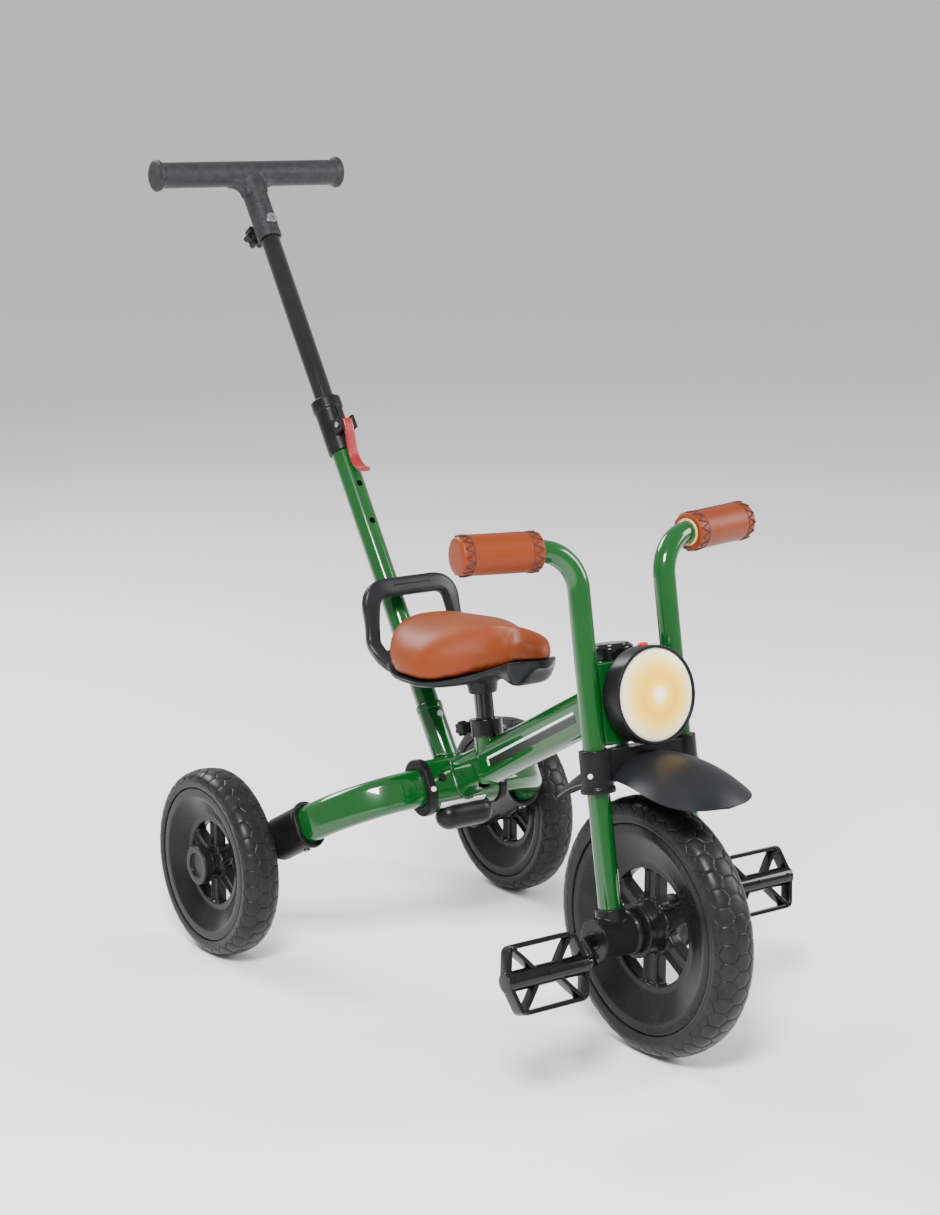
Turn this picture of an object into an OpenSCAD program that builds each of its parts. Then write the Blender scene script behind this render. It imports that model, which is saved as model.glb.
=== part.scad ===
// Children's tricycle with a telescopic parent push bar.
// The rider faces -Y, +X is the rider's left, +Z is up and the floor is z = 0.
// Sizes are millimetres. The origin is under the middle of the whole object.

/* [Wheels] */
// Radius of the front tyre
front_r = 127; // [100:1:160]
// Width of the front tyre
front_w = 44; // [34:1:56]
// Radius of the rear tyres
rear_r = 101; // [80:1:125]
// Width of the rear tyres
rear_w = 42; // [32:1:54]
// Distance from the front axle to the rear axle
wheelbase = 497; // [410:1:600]
// Distance between the middles of the rear tyres
track = 390; // [320:2:470]
// Height of foam on each tyre, from bead to tread
foam_front = 29; // [18:1:36]
// Height of foam on the rear tyres
foam_rear = 23; // [14:1:30]
// Number of spokes on every wheel
spokes = 6; // [5:1:8]

/* [Fork and handlebar] */
// Angle that the fork leans back
rake = 9.9; // [4:0.1:18]
// Diameter of the fork and handlebar tube
bar_d = 22; // [18:1:25]
// Half of the distance between the two fork tubes
leg_x = 52.3; // [44:0.1:66]
// Distance that the steering axis lies behind the fork tubes
head_back = 28; // [26:1:36]
// Height of the welded fork bridge
bridge_h = 78; // [60:1:100]
// Straight tube between the fork bridge and the handlebar bend
rise = 72; // [50:1:110]
// Radius of the handlebar bend
bar_bend_r = 40; // [32:1:60]
// Angle that the handlebar turns through in its bend
bar_bend = 87; // [60:1:100]
// Angle that the grips sweep back
sweep = 9; // [0:1:25]
// Length of a grip
grip_l = 90; // [70:1:120]
// Diameter of a grip
grip_d = 38; // [30:1:44]

/* [Cranks and pedals] */
// Distance from the axle to a pedal spindle
crank_l = 45; // [36:1:60]
// Diameter of the bent crank rod
rod_d = 12; // [9:0.5:14]
// Length of a pedal
pedal_l = 92; // [70:1:110]
// Width of a pedal
pedal_w = 64; // [50:1:80]
// Angle of the pedal platforms below level
pedal_tilt = 70; // [0:1:90]

/* [Frame] */
// Height of the middle of the cross tube
cross_z = 196; // [160:1:230]
// Distance from the cross tube forward of the rear axle
leg_reach = 167; // [130:1:210]
// Half of the length of the cross tube
cross_half = 40; // [32:1:50]
// Depth of the cross tube's oval section
cross_a = 38; // [32:1:46]
// Height of the cross tube's oval section
cross_b = 56; // [48:1:68]
// Width of the main beam
beam_a = 28; // [22:1:32]
// Height of the main beam
beam_b = 44; // [36:1:50]
// Thickness of a rear leg's oval section
leg_a = 25; // [20:1:28]
// Height of a rear leg's oval section
leg_b = 40; // [32:1:44]
// Angle that each rear leg turns through
leg_turn = 81.4; // [60:0.1:86]
// Wall of the steel tubes
wall = 1.8; // [1.2:0.1:2.5]

/* [Saddle] */
// Distance of the seat post ahead of the cross tube, at the beam's middle
seat_ahead = 60; // [45:1:80]
// Angle that the seat post leans back
post_lean = 9; // [0:1:20]
// Diameter of the seat post
post_d = 20; // [16:1:24]
// Height of the saddle's lower edge at its widest
saddle_z = 320; // [300:1:350]
// Length of the saddle
saddle_l = 226; // [190:1:260]
// Width of the saddle
saddle_w = 152; // [120:1:180]
// Height of the saddle's top above its lower edge
saddle_h = 58; // [40:1:70]

/* [Push bar] */
// Angle that the push bar leans back
pole_lean = 33; // [20:1:45]
// Diameter of the lower push tube
lower_d = 25; // [22:1:30]
// Diameter of the upper push tube
upper_d = 21.5; // [18:0.5:22]
// Distance along the bar from the cross tube to the clamp
clamp_q = 388; // [320:1:450]
// Length of the clamp
clamp_l = 64; // [50:1:80]
// Exposed length of the upper tube
upper_show = 206; // [150:1:260]
// Length of the T-handle's stem up to the middle of its bar
stem_l = 85; // [65:1:110]
// Length of the T-handle's bar
handle_l = 241; // [180:1:300]
// Diameter of the T-handle's bar
handle_d = 29; // [24:1:34]

/* [Head] */
// Radius of the headlight housing
lamp_r = 47; // [36:1:52]
// Depth of the headlight housing
lamp_depth = 31; // [24:1:44]

/* [Hidden] */
$fn = 64;
fit = 0.05; // radial clearance of every running fit
weld = 0.05; // gap at a welded or seated joint
gap = 0.4; // gap between two bodies that pass each other
half_track = track / 2;

// Fork frame: u runs up the fork tubes from the axle, v runs backward at right angles.
crown_u = front_r + 10;
crown_h = 41;
bridge_u = crown_u + crown_h + 2;
bridge_top = bridge_u + bridge_h;
plate_t = 3;
bridge_v = -5.5;
bend_u = bridge_top + rise;
grip_start = bar_bend_r * (1 - cos(bar_bend));
head_d = 38;
axle_h = 45; // length of a fork end along the axle
fork_end_in = leg_x - 22;
fork_end_out = fork_end_in + axle_h;
fork_end_r = 20;
tube_foot = 12; // the fork tubes stop this far above the axle
lamp_u = bridge_u + bridge_h / 2 + 5;
lens_r = lamp_r - 4.5;

// Crank rod
rod_r = rod_d / 2;
crank_bend = 64;
crank_bend_r = 14;
crank_start = fork_end_out + 4;
crank_arm = (crank_l - 2 * crank_bend_r * (1 - cos(crank_bend))) / sin(crank_bend);
spindle_x = crank_start + 2 * crank_bend_r * sin(crank_bend) + crank_arm * cos(crank_bend);
pedal_x = spindle_x + 2;

// Rear frame
cross_y = wheelbase - leg_reach;
leg_drop = cross_z - rear_r;
leg_tilt = atan2(leg_drop, leg_reach);
leg_run = sqrt(leg_drop * leg_drop + leg_reach * leg_reach);
leg_root = cross_half + 5;
leg_end_x = half_track - 39.3;
leg_bend_r = (leg_end_x - leg_root - leg_run / tan(leg_turn))
    / (sin(leg_turn) - (1 - cos(leg_turn)) / tan(leg_turn));
leg_straight = (leg_run - leg_bend_r * (1 - cos(leg_turn))) / sin(leg_turn);
leg_bend_end = [leg_root + leg_bend_r * sin(leg_turn), leg_bend_r * (1 - cos(leg_turn)), 0];
holder_in = 0.3 * leg_straight; // length of leg inside its axle holder
hub_in = half_track - 28;
hub_out = half_track + 20;
axle_r = 5;

// The main beam runs from the cross tube to the middle of the head tube.
head_u = bridge_u + bridge_h / 2;
head_y = head_u * sin(rake) + head_back * cos(rake);
head_z = front_r + head_u * cos(rake) - head_back * sin(rake);
beam_tilt = atan2(head_z - cross_z, cross_y - head_y);
beam_l = sqrt(pow(head_z - cross_z, 2) + pow(cross_y - head_y, 2));

// Saddle and seat post: the post's axis crosses the beam's axis at the point [seat_y, seat_z].
seat_y = cross_y - seat_ahead;
seat_z = cross_z + seat_ahead * tan(beam_tilt);
seat_tube_d = post_d + 7;
seat_tube_top = 38;
clamp_h = 18;
ear_p = seat_tube_d / 2 + 10; // the clamp screw lies this far behind the post's axis
post_foot = 3;
post_top = (saddle_z - seat_z) / cos(post_lean) - 2;
saddle_rear = seat_y + 130;

// Push bar: q runs up the bar from the middle of the cross tube.
pole_y = cross_y + 4;
socket_d = lower_d + 3;
socket_q = 87;
pole_foot = 34;
clamp_end = clamp_q + clamp_l;
stem_q = clamp_end + upper_show;
handle_q = stem_q + stem_l;
flange_r = handle_d / 2 + 3.5;
stem_d = 28;
upper_in = 95; // length of upper tube inside the lower one
lever_q = clamp_q + 24;
lever_p = -23;
knob_q = stem_q + 18;

// The object's middle, front to back
rear_edge = pole_y + handle_q * sin(pole_lean) + flange_r;
mid_y = (rear_edge - front_r) / 2;

green = [0.05, 0.4, 0.17];
black = [0.08, 0.08, 0.09];
steel = [0.7, 0.7, 0.72];
tan_leather = [0.64, 0.33, 0.17];

// ---- frames of reference ----

module placed() translate([0, -mid_y, 0]) children();
module at_fork() placed() translate([0, 0, front_r]) rotate([-rake, 0, 0]) children();
module at_legs() placed() translate([0, cross_y, cross_z]) rotate([-leg_tilt, 0, 0]) children();
module at_beam() placed() translate([0, cross_y, cross_z]) rotate([-beam_tilt, 0, 0]) children();
module at_seat() placed() translate([0, seat_y, seat_z]) rotate([-post_lean, 0, 0]) children();
module at_pole() placed() translate([0, pole_y, cross_z]) rotate([-pole_lean, 0, 0]) children();
module both_sides() {
    children();
    mirror([1, 0, 0]) children();
}

// ---- shapes that repeat ----

// Oval outline, a across and b high
module oval(a, b) {
    square([a, b - a], center = true);
    for (s = [-1, 1]) translate([0, s * (b - a) / 2]) circle(d = a);
}

// Rod along X from x0 to x1
module x_rod(r, x0, x1) translate([x0, 0, 0]) rotate([0, 90, 0]) cylinder(r = r, h = x1 - x0);

// Ring along X with a bore
module x_ring(r, bore, x0, x1) difference() {
    x_rod(r, x0, x1);
    x_rod(bore, x0 - 1, x1 + 1);
}

// Screw head with a cross slot, standing on z = 0
module screw_head(r, h) difference() {
    cylinder(r = r, h = h);
    for (a = [0, 90]) rotate([0, 0, a]) translate([-r * 0.6, -r * 0.13, h * 0.5])
        cube([r * 1.2, r * 0.26, h]);
}

// Knob with round lobes, standing on z = 0
module lobed_knob(r, h, lobes) {
    cylinder(r = r * 0.72, h = h);
    for (i = [0 : lobes - 1]) rotate([0, 0, i * 360 / lobes]) translate([r * 0.72, 0, 0])
        cylinder(r = r * 0.28, h = h);
}

function smooth(t) = let (c = min(max(t, 0), 1)) c * c * (3 - 2 * c);

// Closed solid through rings of equal length, with flat ends
module loft(rings) {
    n = len(rings[0]);
    m = len(rings);
    points = [for (ring = rings) for (p = ring) p];
    sides = [for (i = [0 : m - 2]) for (j = [0 : n - 1]) let (k = (j + 1) % n)
        [i * n + j, (i + 1) * n + j, (i + 1) * n + k, i * n + k]];
    ends = [[for (j = [0 : n - 1]) j], [for (j = [n - 1 : -1 : 0]) (m - 1) * n + j]];
    polyhedron(points, concat(sides, ends), convexity = 6);
}

// Outline of an oval, a across and b high, as 2 * n points
function oval_points(a, b, n) = [for (i = [0 : 2 * n - 1]) let (t = (i + 0.5) * 180 / n)
    [a / 2 * cos(t), a / 2 * sin(t) + sign(sin(t)) * (b - a) / 2]];

// The outline set square to a path in the XY plane at point p, with heading h
function ring_at(p, h, outline) = [for (q = outline) [p.x - q.x * sin(h), p.y + q.x * cos(h), q.y]];

// Points and headings of an arc that starts at p with heading h and turns left by the angle turn
function arc_steps(p, h, r, turn, n) = [for (i = [0 : n]) let (a = turn * i / n, k = sign(turn))
    [p + r * k * [sin(h + a) - sin(h), cos(h) - cos(h + a)], h + a]];

// Solid bar of the given outline through a list of points and headings
module sweep_bar(outline, steps) loft([for (s = steps) ring_at(s[0], s[1], outline)]);

// ---- wheels, drawn round the X axis ----

// Trough section of a rim: bead is the radius under the tyre, ring the radius of the spoke ring
module rim_section(bead, half, ring, web) polygon([
    [bead + 5, half], [bead - 5, half], [ring + 6, web], [ring, web],
    [ring, -web], [ring + 6, -web], [bead - 5, -half], [bead + 5, -half],
    [bead + 5, -half + 2.5], [bead - 4, -half + 2.8], [ring + 8, -web + 3],
    [ring + 8, web - 3], [bead - 4, half - 2.8], [bead + 5, half - 2.5]]);

// Spoke with a channel in each face
module spoke(inner, outer, width, depth) difference() {
    translate([-depth / 2, -width / 2, inner]) cube([depth, width, outer - inner]);
    for (s = [-1, 1]) translate([s * depth / 2 - 3, -width / 2 + 3, inner + 6])
        cube([6, width - 6, outer - inner - 12]);
}

module rim(bead, half, ring, web, hub_r, x0, x1, bore) difference() {
    union() {
        rotate([0, 90, 0]) rotate_extrude($fn = 128) rim_section(bead, half, ring, web);
        for (i = [0 : spokes - 1]) rotate([i * 360 / spokes, 0, 0])
            spoke(hub_r - 3, ring + 2, hub_r * 0.8, web * 2);
        x_rod(hub_r, x0, x1);
        x_rod(hub_r + 2, x0, x0 + 3);
        x_rod(hub_r + 2, x1 - 3, x1);
    }
    x_rod(bore, x0 - 1, x1 + 1);
}

// Foam tyre with round shoulders, seated in the rim's trough
module tyre(r, w, bead, half) color([0.06, 0.06, 0.07]) {
    seat = bead + 5 + weld;
    shoulder = min(w * 0.26, (r - seat) / 2 - 0.1);
    rotate([0, 90, 0]) rotate_extrude($fn = 128) {
        translate([bead, -(half - 2.75)]) square([7, 2 * (half - 2.75)]);
        translate([seat, -w / 2]) square([r - shoulder - seat, w]);
        translate([seat, shoulder - w / 2]) square([r - seat, w - 2 * shoulder]);
        for (s = [-1, 1]) translate([r - shoulder, s * (w / 2 - shoulder)]) circle(shoulder);
    }
}

front_bead = front_r - foam_front;
front_half = front_w / 2 - 1.5;
rear_bead = rear_r - foam_rear;
rear_half = rear_w / 2 - 1.5;
front_hub = fork_end_in - 3;

module at_front_wheel() placed() translate([0, 0, front_r]) children();
module at_rear_wheel(s) placed() translate([s * half_track, wheelbase, rear_r])
    rotate([0, 0, s < 0 ? 180 : 0]) children();

module rim_front() color(black) at_front_wheel()
    rim(front_bead, front_half, front_r * 0.45, 8, 25, -front_hub, front_hub, rod_r + weld);
module tyre_front() at_front_wheel() tyre(front_r, front_w, front_bead, front_half);

module rim_rear(s) color(black) at_rear_wheel(s)
    rim(rear_bead, rear_half, rear_r * 0.44, 7, 16, hub_in - half_track, 17, axle_r + 4);
module tyre_rear(s) at_rear_wheel(s) tyre(rear_r, rear_w, rear_bead, rear_half);

// Two bushes and the outer cap of one rear wheel
module hub_rear(s) color([0.13, 0.13, 0.14]) at_rear_wheel(s) {
    x_ring(axle_r + 4 - weld, axle_r + fit, hub_in - half_track, hub_in - half_track + 14);
    x_ring(axle_r + 4 - weld, axle_r + fit, 3, 16.9);
    difference() {
        x_rod(21, 17 + weld, 27);
        x_rod(13, 16, 24);
        x_rod(5, 16, 28);
    }
}

// ---- steel frame ----

// Solid bar along the beam from w0 to w1, w running back and down the beam
module beam_bar(a, b, w0, w1) at_beam() translate([0, w1, 0]) rotate([90, 0, 0])
    linear_extrude(w1 - w0) oval(a, b);

module head_bar(r, u0, u1) at_fork() translate([0, head_back, u0]) cylinder(r = r, h = u1 - u0);

module seat_bar(r, z0, z1) at_seat() translate([0, 0, z0]) cylinder(r = r, h = z1 - z0);

module pole_bar(r, q0, q1) at_pole() translate([0, 0, q0]) cylinder(r = r, h = q1 - q0);

module cross_bar(a, b, x0, x1) at_legs() translate([x0, 0, 0]) rotate([0, 90, 0])
    linear_extrude(x1 - x0) rotate(90) oval(a, b);

module main_beam() color(green) difference() {
    beam_bar(beam_a, beam_b, -beam_l, 0);
    beam_bar(beam_a - 2 * wall, beam_b - 2 * wall, -beam_l - 1, 1);
    head_bar(head_d / 2 + weld, bridge_u, bridge_top);
    cross_bar(cross_a + 2 * weld, cross_b + 2 * weld, -cross_half, cross_half);
    seat_bar(seat_tube_d / 2 + weld, -beam_b, seat_tube_top + 1);
}

module cross_tube() color(green) difference() {
    cross_bar(cross_a, cross_b, -cross_half, cross_half);
    cross_bar(cross_a - 2 * wall, cross_b - 2 * wall, -cross_half - 1, cross_half + 1);
    pole_bar(socket_d / 2 + weld, 0, 80);
    both_sides() at_legs() translate([cross_half - 11, -cross_a / 2, 3]) rotate([90, 0, 0])
        cylinder(r = 4 + fit, h = 20, center = true);
}

bearing_lip = 5;
module head_tube() color(green) difference() {
    head_bar(head_d / 2, bridge_u + plate_t + bearing_lip, bridge_top - plate_t - bearing_lip);
    head_bar(head_d / 2 - 3, bridge_u, bridge_top);
}

module head_bearings() color(steel) {
    lip = bearing_lip - gap;
    low = bridge_u + plate_t + gap;
    for (u = [[low, low, low + lip + 8], [bridge_top - plate_t - gap - lip, bridge_top - plate_t
        - gap - lip - 8, bridge_top - plate_t - gap - lip]]) difference() {
        union() {
            head_bar(head_d / 2, u[0], u[0] + lip - weld);
            head_bar(head_d / 2 - 3 - weld, u[1], u[2]);
        }
        head_bar(6 + fit, bridge_u, bridge_top);
    }
}

module seat_tube() color(green) difference() {
    seat_bar(seat_tube_d / 2, -beam_b / 2 + 3, seat_tube_top);
    seat_bar(post_d / 2 + fit, -beam_b / 2 + 5, seat_tube_top + 1);
}

module push_socket() color(green) difference() {
    pole_bar(socket_d / 2, 18, socket_q);
    pole_bar(lower_d / 2 + weld, pole_foot - 4, socket_q + 1);
    at_pole() translate([0, 0, socket_q - 16]) rotate([90, 0, 0]) cylinder(r = 3.5 + fit, h = 30);
}

// Printed films on the flat sides of the beam
decal_t = 0.3;
flat_h = beam_b - beam_a;
decal_w0 = -beam_l + 52;
decal_w1 = -90;
module stripe_decals() color([0.05, 0.05, 0.05]) both_sides() at_beam()
    translate([beam_a / 2 + weld, decal_w0, -flat_h / 2 + 1]) cube([decal_t, decal_w1 - decal_w0, 7]);
module line_decals() color("white") both_sides() at_beam() {
    translate([beam_a / 2 + weld, decal_w0, -flat_h / 2 + 9.5])
        cube([decal_t, decal_w1 - decal_w0 + 3, 2.5]);
    translate([beam_a / 2 + weld, decal_w1 + 2, -flat_h / 2 + 3]) cube([decal_t, 2.5, 6.5]);
}
// Blank label bent round the lower front of the cross tube
module blank_label() color("white") at_legs() translate([0, 0, -(cross_b - cross_a) / 2]) intersection() {
    x_ring(cross_a / 2 + weld + decal_t, cross_a / 2 + weld, 5 - cross_half, cross_half - 18);
    translate([-cross_half, -cross_a, -17.6]) cube([2 * cross_half, cross_a, 4.2]);
}

// Straight oval bars along a leg's root and along its end
module leg_root_bar(a, b, x0, x1) at_legs() translate([x0, 0, 0]) rotate([0, 90, 0])
    linear_extrude(x1 - x0) rotate(90) oval(a, b);
module at_leg_end() at_legs() translate(leg_bend_end) rotate([0, 0, leg_turn]) rotate([0, 90, 0])
    children();
module leg_end_bar(a, b, s0, s1) at_leg_end() translate([0, 0, s0]) linear_extrude(s1 - s0)
    rotate(90) oval(a, b);

// The whole leg, with end more length at both ends
module leg_bar(a, b, end) {
    bend = arc_steps([leg_root, 0], 0, leg_bend_r, leg_turn, 14);
    last = bend[len(bend) - 1];
    tip = last[0] + (holder_in + end) * [cos(leg_turn), sin(leg_turn)];
    at_legs() sweep_bar(oval_points(a, b, 12), concat([[[22 - end, 0], 0]], bend, [[tip, leg_turn]]));
}

module rear_legs() color(green) both_sides() difference() {
    leg_bar(leg_a, leg_b, 0);
    leg_bar(leg_a - 2 * wall, leg_b - 2 * wall, 1);
}

// Oval collar that plugs the cross tube and holds the leg's root
module leg_collars() color(black) both_sides() difference() {
    union() {
        cross_bar(cross_a + 5, cross_b + 5, cross_half + weld, cross_half + 9);
        cross_bar(cross_a - 2 * wall - 2 * weld, cross_b - 2 * wall - 2 * weld, 25, cross_half + 1);
    }
    leg_root_bar(leg_a + 2 * weld, leg_b + 2 * weld, 20, cross_half + 12);
    at_legs() translate([cross_half - 11, -cross_a / 2, 3]) rotate([90, 0, 0])
        cylinder(r = 4 + fit, h = 12, center = true);
}

// Spring button that releases a rear leg from the cross tube
module leg_button(s) color(black) at_legs()
    translate([s * (cross_half - 11), -cross_a / 2 - 2.5, 3]) rotate([-90, 0, 0]) cylinder(r = 4, h = 5.5);

module collar_screws() color("white") both_sides() at_legs()
    translate([cross_half + 5, -cross_a / 2 - 2.5 - weld, -8]) rotate([90, 0, 0]) screw_head(2.7, 1.4);

// Sleeve on the leg's end, leading to a boss round the axle
module axle_holders() color(black) both_sides() difference() {
    union() {
        leg_end_bar(leg_a + 11, leg_b + 11, 0, 6);
        leg_end_bar(leg_a + 7, leg_b + 7, 5, leg_straight * 0.5);
        leg_end_bar(leg_a + 3, leg_b - 2, 5, leg_straight);
        placed() translate([0, wheelbase, rear_r]) x_rod(20, leg_end_x - 17, hub_in - 4);
        placed() translate([0, wheelbase, rear_r]) x_rod(13, leg_end_x, hub_in - 0.5);
    }
    leg_end_bar(leg_a + 2 * weld, leg_b + 2 * weld, -1, holder_in + weld);
    placed() translate([0, wheelbase, rear_r]) x_rod(axle_r + weld, leg_end_x - 12, hub_in + 1);
    placed() translate([0, wheelbase, rear_r]) x_rod(30, hub_in - gap, hub_in + 12);
}

module holder_screws() color(steel) both_sides() at_legs() translate(leg_bend_end)
    rotate([0, 0, leg_turn]) translate([16, 0, -leg_b / 2 - 3.5 - weld]) rotate([180, 0, 0])
        screw_head(3.6, 1.6);

// Axle bolts: a shank into each holder and a head outside the outer bush
module rear_axles() color(steel) both_sides() placed() translate([0, wheelbase, rear_r]) {
    x_rod(axle_r, leg_end_x - 12, hub_out - 2);
    x_rod(9, half_track + 17 + gap, hub_out + 3);
}

// Rounded hollow cover under the cross tube, open towards it
cover_r = 15;
cover_half = 19;
module capsule(r) {
    x_rod(r, -cover_half, cover_half);
    for (k = [-1, 1]) translate([k * cover_half, 0, 0]) sphere(r);
}
module under_cover() color(black) at_legs() difference() {
    translate([0, 3, -cross_b / 2 - 6]) capsule(cover_r);
    translate([0, 3, -cross_b / 2 - 6]) capsule(cover_r - 3);
    translate([-50, 0, 0]) rotate([0, 90, 0]) linear_extrude(100)
        rotate(90) oval(cross_a + 2 * weld + 1, cross_b + 2 * weld + 1);
}

// ---- fork, head and handlebar ----

// Fork tube, bend and grip end as one bar of radius r, with end more length at both ends
module bar_path(r, end) translate([leg_x, 0, bend_u]) rotate([0, 0, sweep]) rotate([90, 0, 0]) {
    bend = arc_steps([0, 0], 90, bar_bend_r, -bar_bend, 12);
    last = bend[len(bend) - 1];
    foot = [0, tube_foot - end - bend_u];
    tip = last[0] + (grip_l - 4 + end) * [cos(last[1]), sin(last[1])];
    sweep_bar(oval_points(2 * r, 2 * r, 16), concat([[foot, 90]], bend, [[tip, last[1]]]));
}

module at_grip() at_fork() translate([leg_x, 0, bend_u]) rotate([0, 0, sweep])
    translate([grip_start, 0, bar_bend_r * sin(bar_bend)]) rotate([0, bar_bend, 0]) children();

module fork_tubes() color(green) both_sides() at_fork() difference() {
    bar_path(bar_d / 2, 0);
    bar_path(bar_d / 2 - wall, 1);
}

module leg_holes() both_sides() at_fork() translate([leg_x, 0, 0])
    cylinder(r = bar_d / 2 + weld, h = bend_u);

module fork_bridge() color(green) difference() {
    at_fork() {
        translate([-leg_x, bridge_v, bridge_u]) cube([2 * leg_x, plate_t, bridge_h]);
        for (u = [bridge_u, bridge_top - plate_t]) {
            translate([-leg_x, bridge_v, u]) cube([2 * leg_x, 14, plate_t]);
            translate([-24, bridge_v, u]) cube([48, head_back - bridge_v, plate_t]);
            translate([0, head_back, u]) cylinder(r = 24, h = plate_t);
        }
    }
    leg_holes();
    head_bar(6 + weld, bridge_u - 1, bridge_top + 1);
}

module steering_bolt() color(steel) {
    head_bar(6, bridge_u - 2, bridge_top + 5);
    head_bar(9.5, bridge_u - 6, bridge_u - weld);
    head_bar(9, bridge_top + weld, bridge_top + 7);
}

module stem_cap() color(black) difference() {
    union() {
        head_bar(22.5, bridge_top + weld, bridge_top + 12);
        head_bar(20.5, bridge_top + 11, bridge_top + 15);
    }
    head_bar(10, bridge_top - 1, bridge_top + 8);
}

module crown() color(black) difference() {
    union() {
        both_sides() at_fork() translate([leg_x, 0, crown_u]) {
            cylinder(r = bar_d / 2 + 4.5, h = crown_h);
            cylinder(r = bar_d / 2 + 6, h = 5);
        }
        at_fork() translate([-leg_x, -13, crown_u + 15]) cube([2 * leg_x, 26, crown_h - 17]);
    }
    leg_holes();
}

module crown_screws() color("white") both_sides() at_fork()
    translate([leg_x, 0, crown_u + 18]) rotate([0, 0, -30]) rotate([0, 90, 0])
        translate([0, 0, bar_d / 2 + 4.5 + weld]) screw_head(2.4, 1.2);

// Rings of a crowned blade: each is an arc of half width half_w, drop deep at its edges, t thick
function blade_ring(y, z, half_w, drop, t) = concat(
    [for (i = [-6 : 6]) [half_w * i / 6, y, z - drop * i * i / 36]],
    [for (i = [6 : -1 : -6]) [(half_w - t * 0.6) * i / 6, y, z - t - (drop - t * 0.3) * i * i / 36]]);

fender_t = 2.6;
fender_root = 24;
fender_l = 136;
fender_w = 52;
fender_z = front_r + 168;
function visor_half(s) = (fender_w - 11 + 22 * s) * sqrt(max(1 - pow(s, 3.5), 0)) + 2;
module front_fender() color([0.13, 0.14, 0.17]) difference() {
    placed() loft([for (i = [20 : -1 : 0]) let (s = 1 - pow(1 - i / 20, 1.6), half = visor_half(s))
        blade_ring(fender_root - fender_l * s, fender_z + 36 * s - 51 * s * s, half,
            0.5 * half * half / (fender_w - 9 + 22 * s), fender_t)]);
    crown_side(-13 - weld);
}

tail_l = 108;
function tail_half(s) = (leg_x - bar_d / 2 - 8.5) * pow(1 - s, 0.62) + 1.5;
module rear_fender() color([0.13, 0.14, 0.17]) difference() {
    placed() loft([for (i = [0 : 14]) let (s = i / 14, half = tail_half(s))
        blade_ring(36 + tail_l * 1.08 * s, fender_z - 9 - 18 * s - 46 * s * s, half,
            0.75 * half, fender_t)]);
    crown_side(13 + weld);
}

// Space behind the crown's front face, or ahead of its rear face
module crown_side(v) at_fork() {
    translate([-2 * leg_x, v < 0 ? v : v - 80, crown_u - 40]) cube([4 * leg_x, 80, 100]);
    for (s = [-1, 1]) translate([s * leg_x, 0, crown_u - 30]) cylinder(r = bar_d / 2 + 6.1, h = 90);
}

module fork_ends() color(black) both_sides() at_fork() difference() {
    union() {
        x_rod(fork_end_r, fork_end_in, fork_end_out);
        x_rod(fork_end_r + 2, fork_end_in, fork_end_in + 5);
        translate([leg_x, 0, 0]) cylinder(r = bar_d / 2 + 3.5, h = fork_end_r + 7);
    }
    translate([leg_x, 0, tube_foot - weld]) cylinder(r = bar_d / 2 + weld, h = fork_end_r);
    x_rod(rod_r + 3, fork_end_in - 1, fork_end_out + 1);
}

module front_bushes() color([0.9, 0.9, 0.88]) both_sides() at_fork()
    x_ring(rod_r + 3 - weld, rod_r + fit, fork_end_in, fork_end_out);

// Points and headings of the bent crank rod: one side, from the axle out to its spindle's end
crank_out = arc_steps([crank_start, 0], 0, crank_bend_r, -crank_bend, 8);
crank_elbow = crank_out[len(crank_out) - 1][0] + crank_arm * [cos(crank_bend), -sin(crank_bend)];
crank_back = arc_steps(crank_elbow, -crank_bend, crank_bend_r, crank_bend, 8);
crank_half = concat(crank_out, crank_back, [[[pedal_x + pedal_l - 7, -crank_l], 0]]);

// The left crank points back and the right one forward
crank_turn = 180;
module at_crank() at_front_wheel() rotate([crank_turn, 0, 0]) children();

module crank_rod() color(black) at_crank() sweep_bar(oval_points(rod_d, rod_d, 14), concat(
    [for (i = [len(crank_half) - 1 : -1 : 0]) [-crank_half[i][0], crank_half[i][1]]], crank_half));

// Open platform pedal round its own spindle, from x = 0 outward
module pedal() difference() {
    union() {
        x_rod(9.5, 0, pedal_l);
        for (s = [-1, 1]) translate([pedal_l / 2, 0, 0]) rotate([0, 0, s > 0 ? 0 : 180]) half_cage();
        translate([pedal_l / 2, 0, -11]) cylinder(r = 2.6, h = 22);
        for (sx = [-1, 1]) for (sy = [-1, 1])
            translate([pedal_l / 2 + sx * pedal_l * 0.36, sy * (pedal_w / 2 - 4), -9])
                cylinder(r = 3, h = 18);
    }
    x_rod(rod_r + fit, -1, pedal_l - 4);
}

// Rails and braces of half a pedal cage, on the +Y side
module half_cage() translate([0, 0, -7]) linear_extrude(14) difference() {
    polygon([[-pedal_l / 2, 0], [-pedal_l * 0.39, pedal_w / 2], [pedal_l * 0.39, pedal_w / 2],
        [pedal_l / 2, 0]]);
    polygon([[-pedal_l * 0.29, pedal_w / 2 - 3.5], [pedal_l * 0.29, pedal_w / 2 - 3.5],
        [pedal_l * 0.12, 5], [-pedal_l * 0.12, 5]]);
    for (s = [-1, 1]) polygon([[s * (pedal_l / 2 - 4.5), 5], [s * pedal_l * 0.365, pedal_w / 2 - 9],
        [s * pedal_l * 0.2, 5]]);
}

module at_pedal(s) at_crank() rotate([0, 0, s > 0 ? 0 : 180])
    translate([pedal_x, -crank_l, 0]) rotate([s * pedal_tilt, 0, 0]) children();
module pedal_left() color(black) at_pedal(1) pedal();
module pedal_right() color(black) at_pedal(-1) pedal();

// ---- headlight ----

module at_lamp() at_fork() translate([0, bridge_v - weld, lamp_u]) rotate([90, 0, 0]) children();

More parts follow.
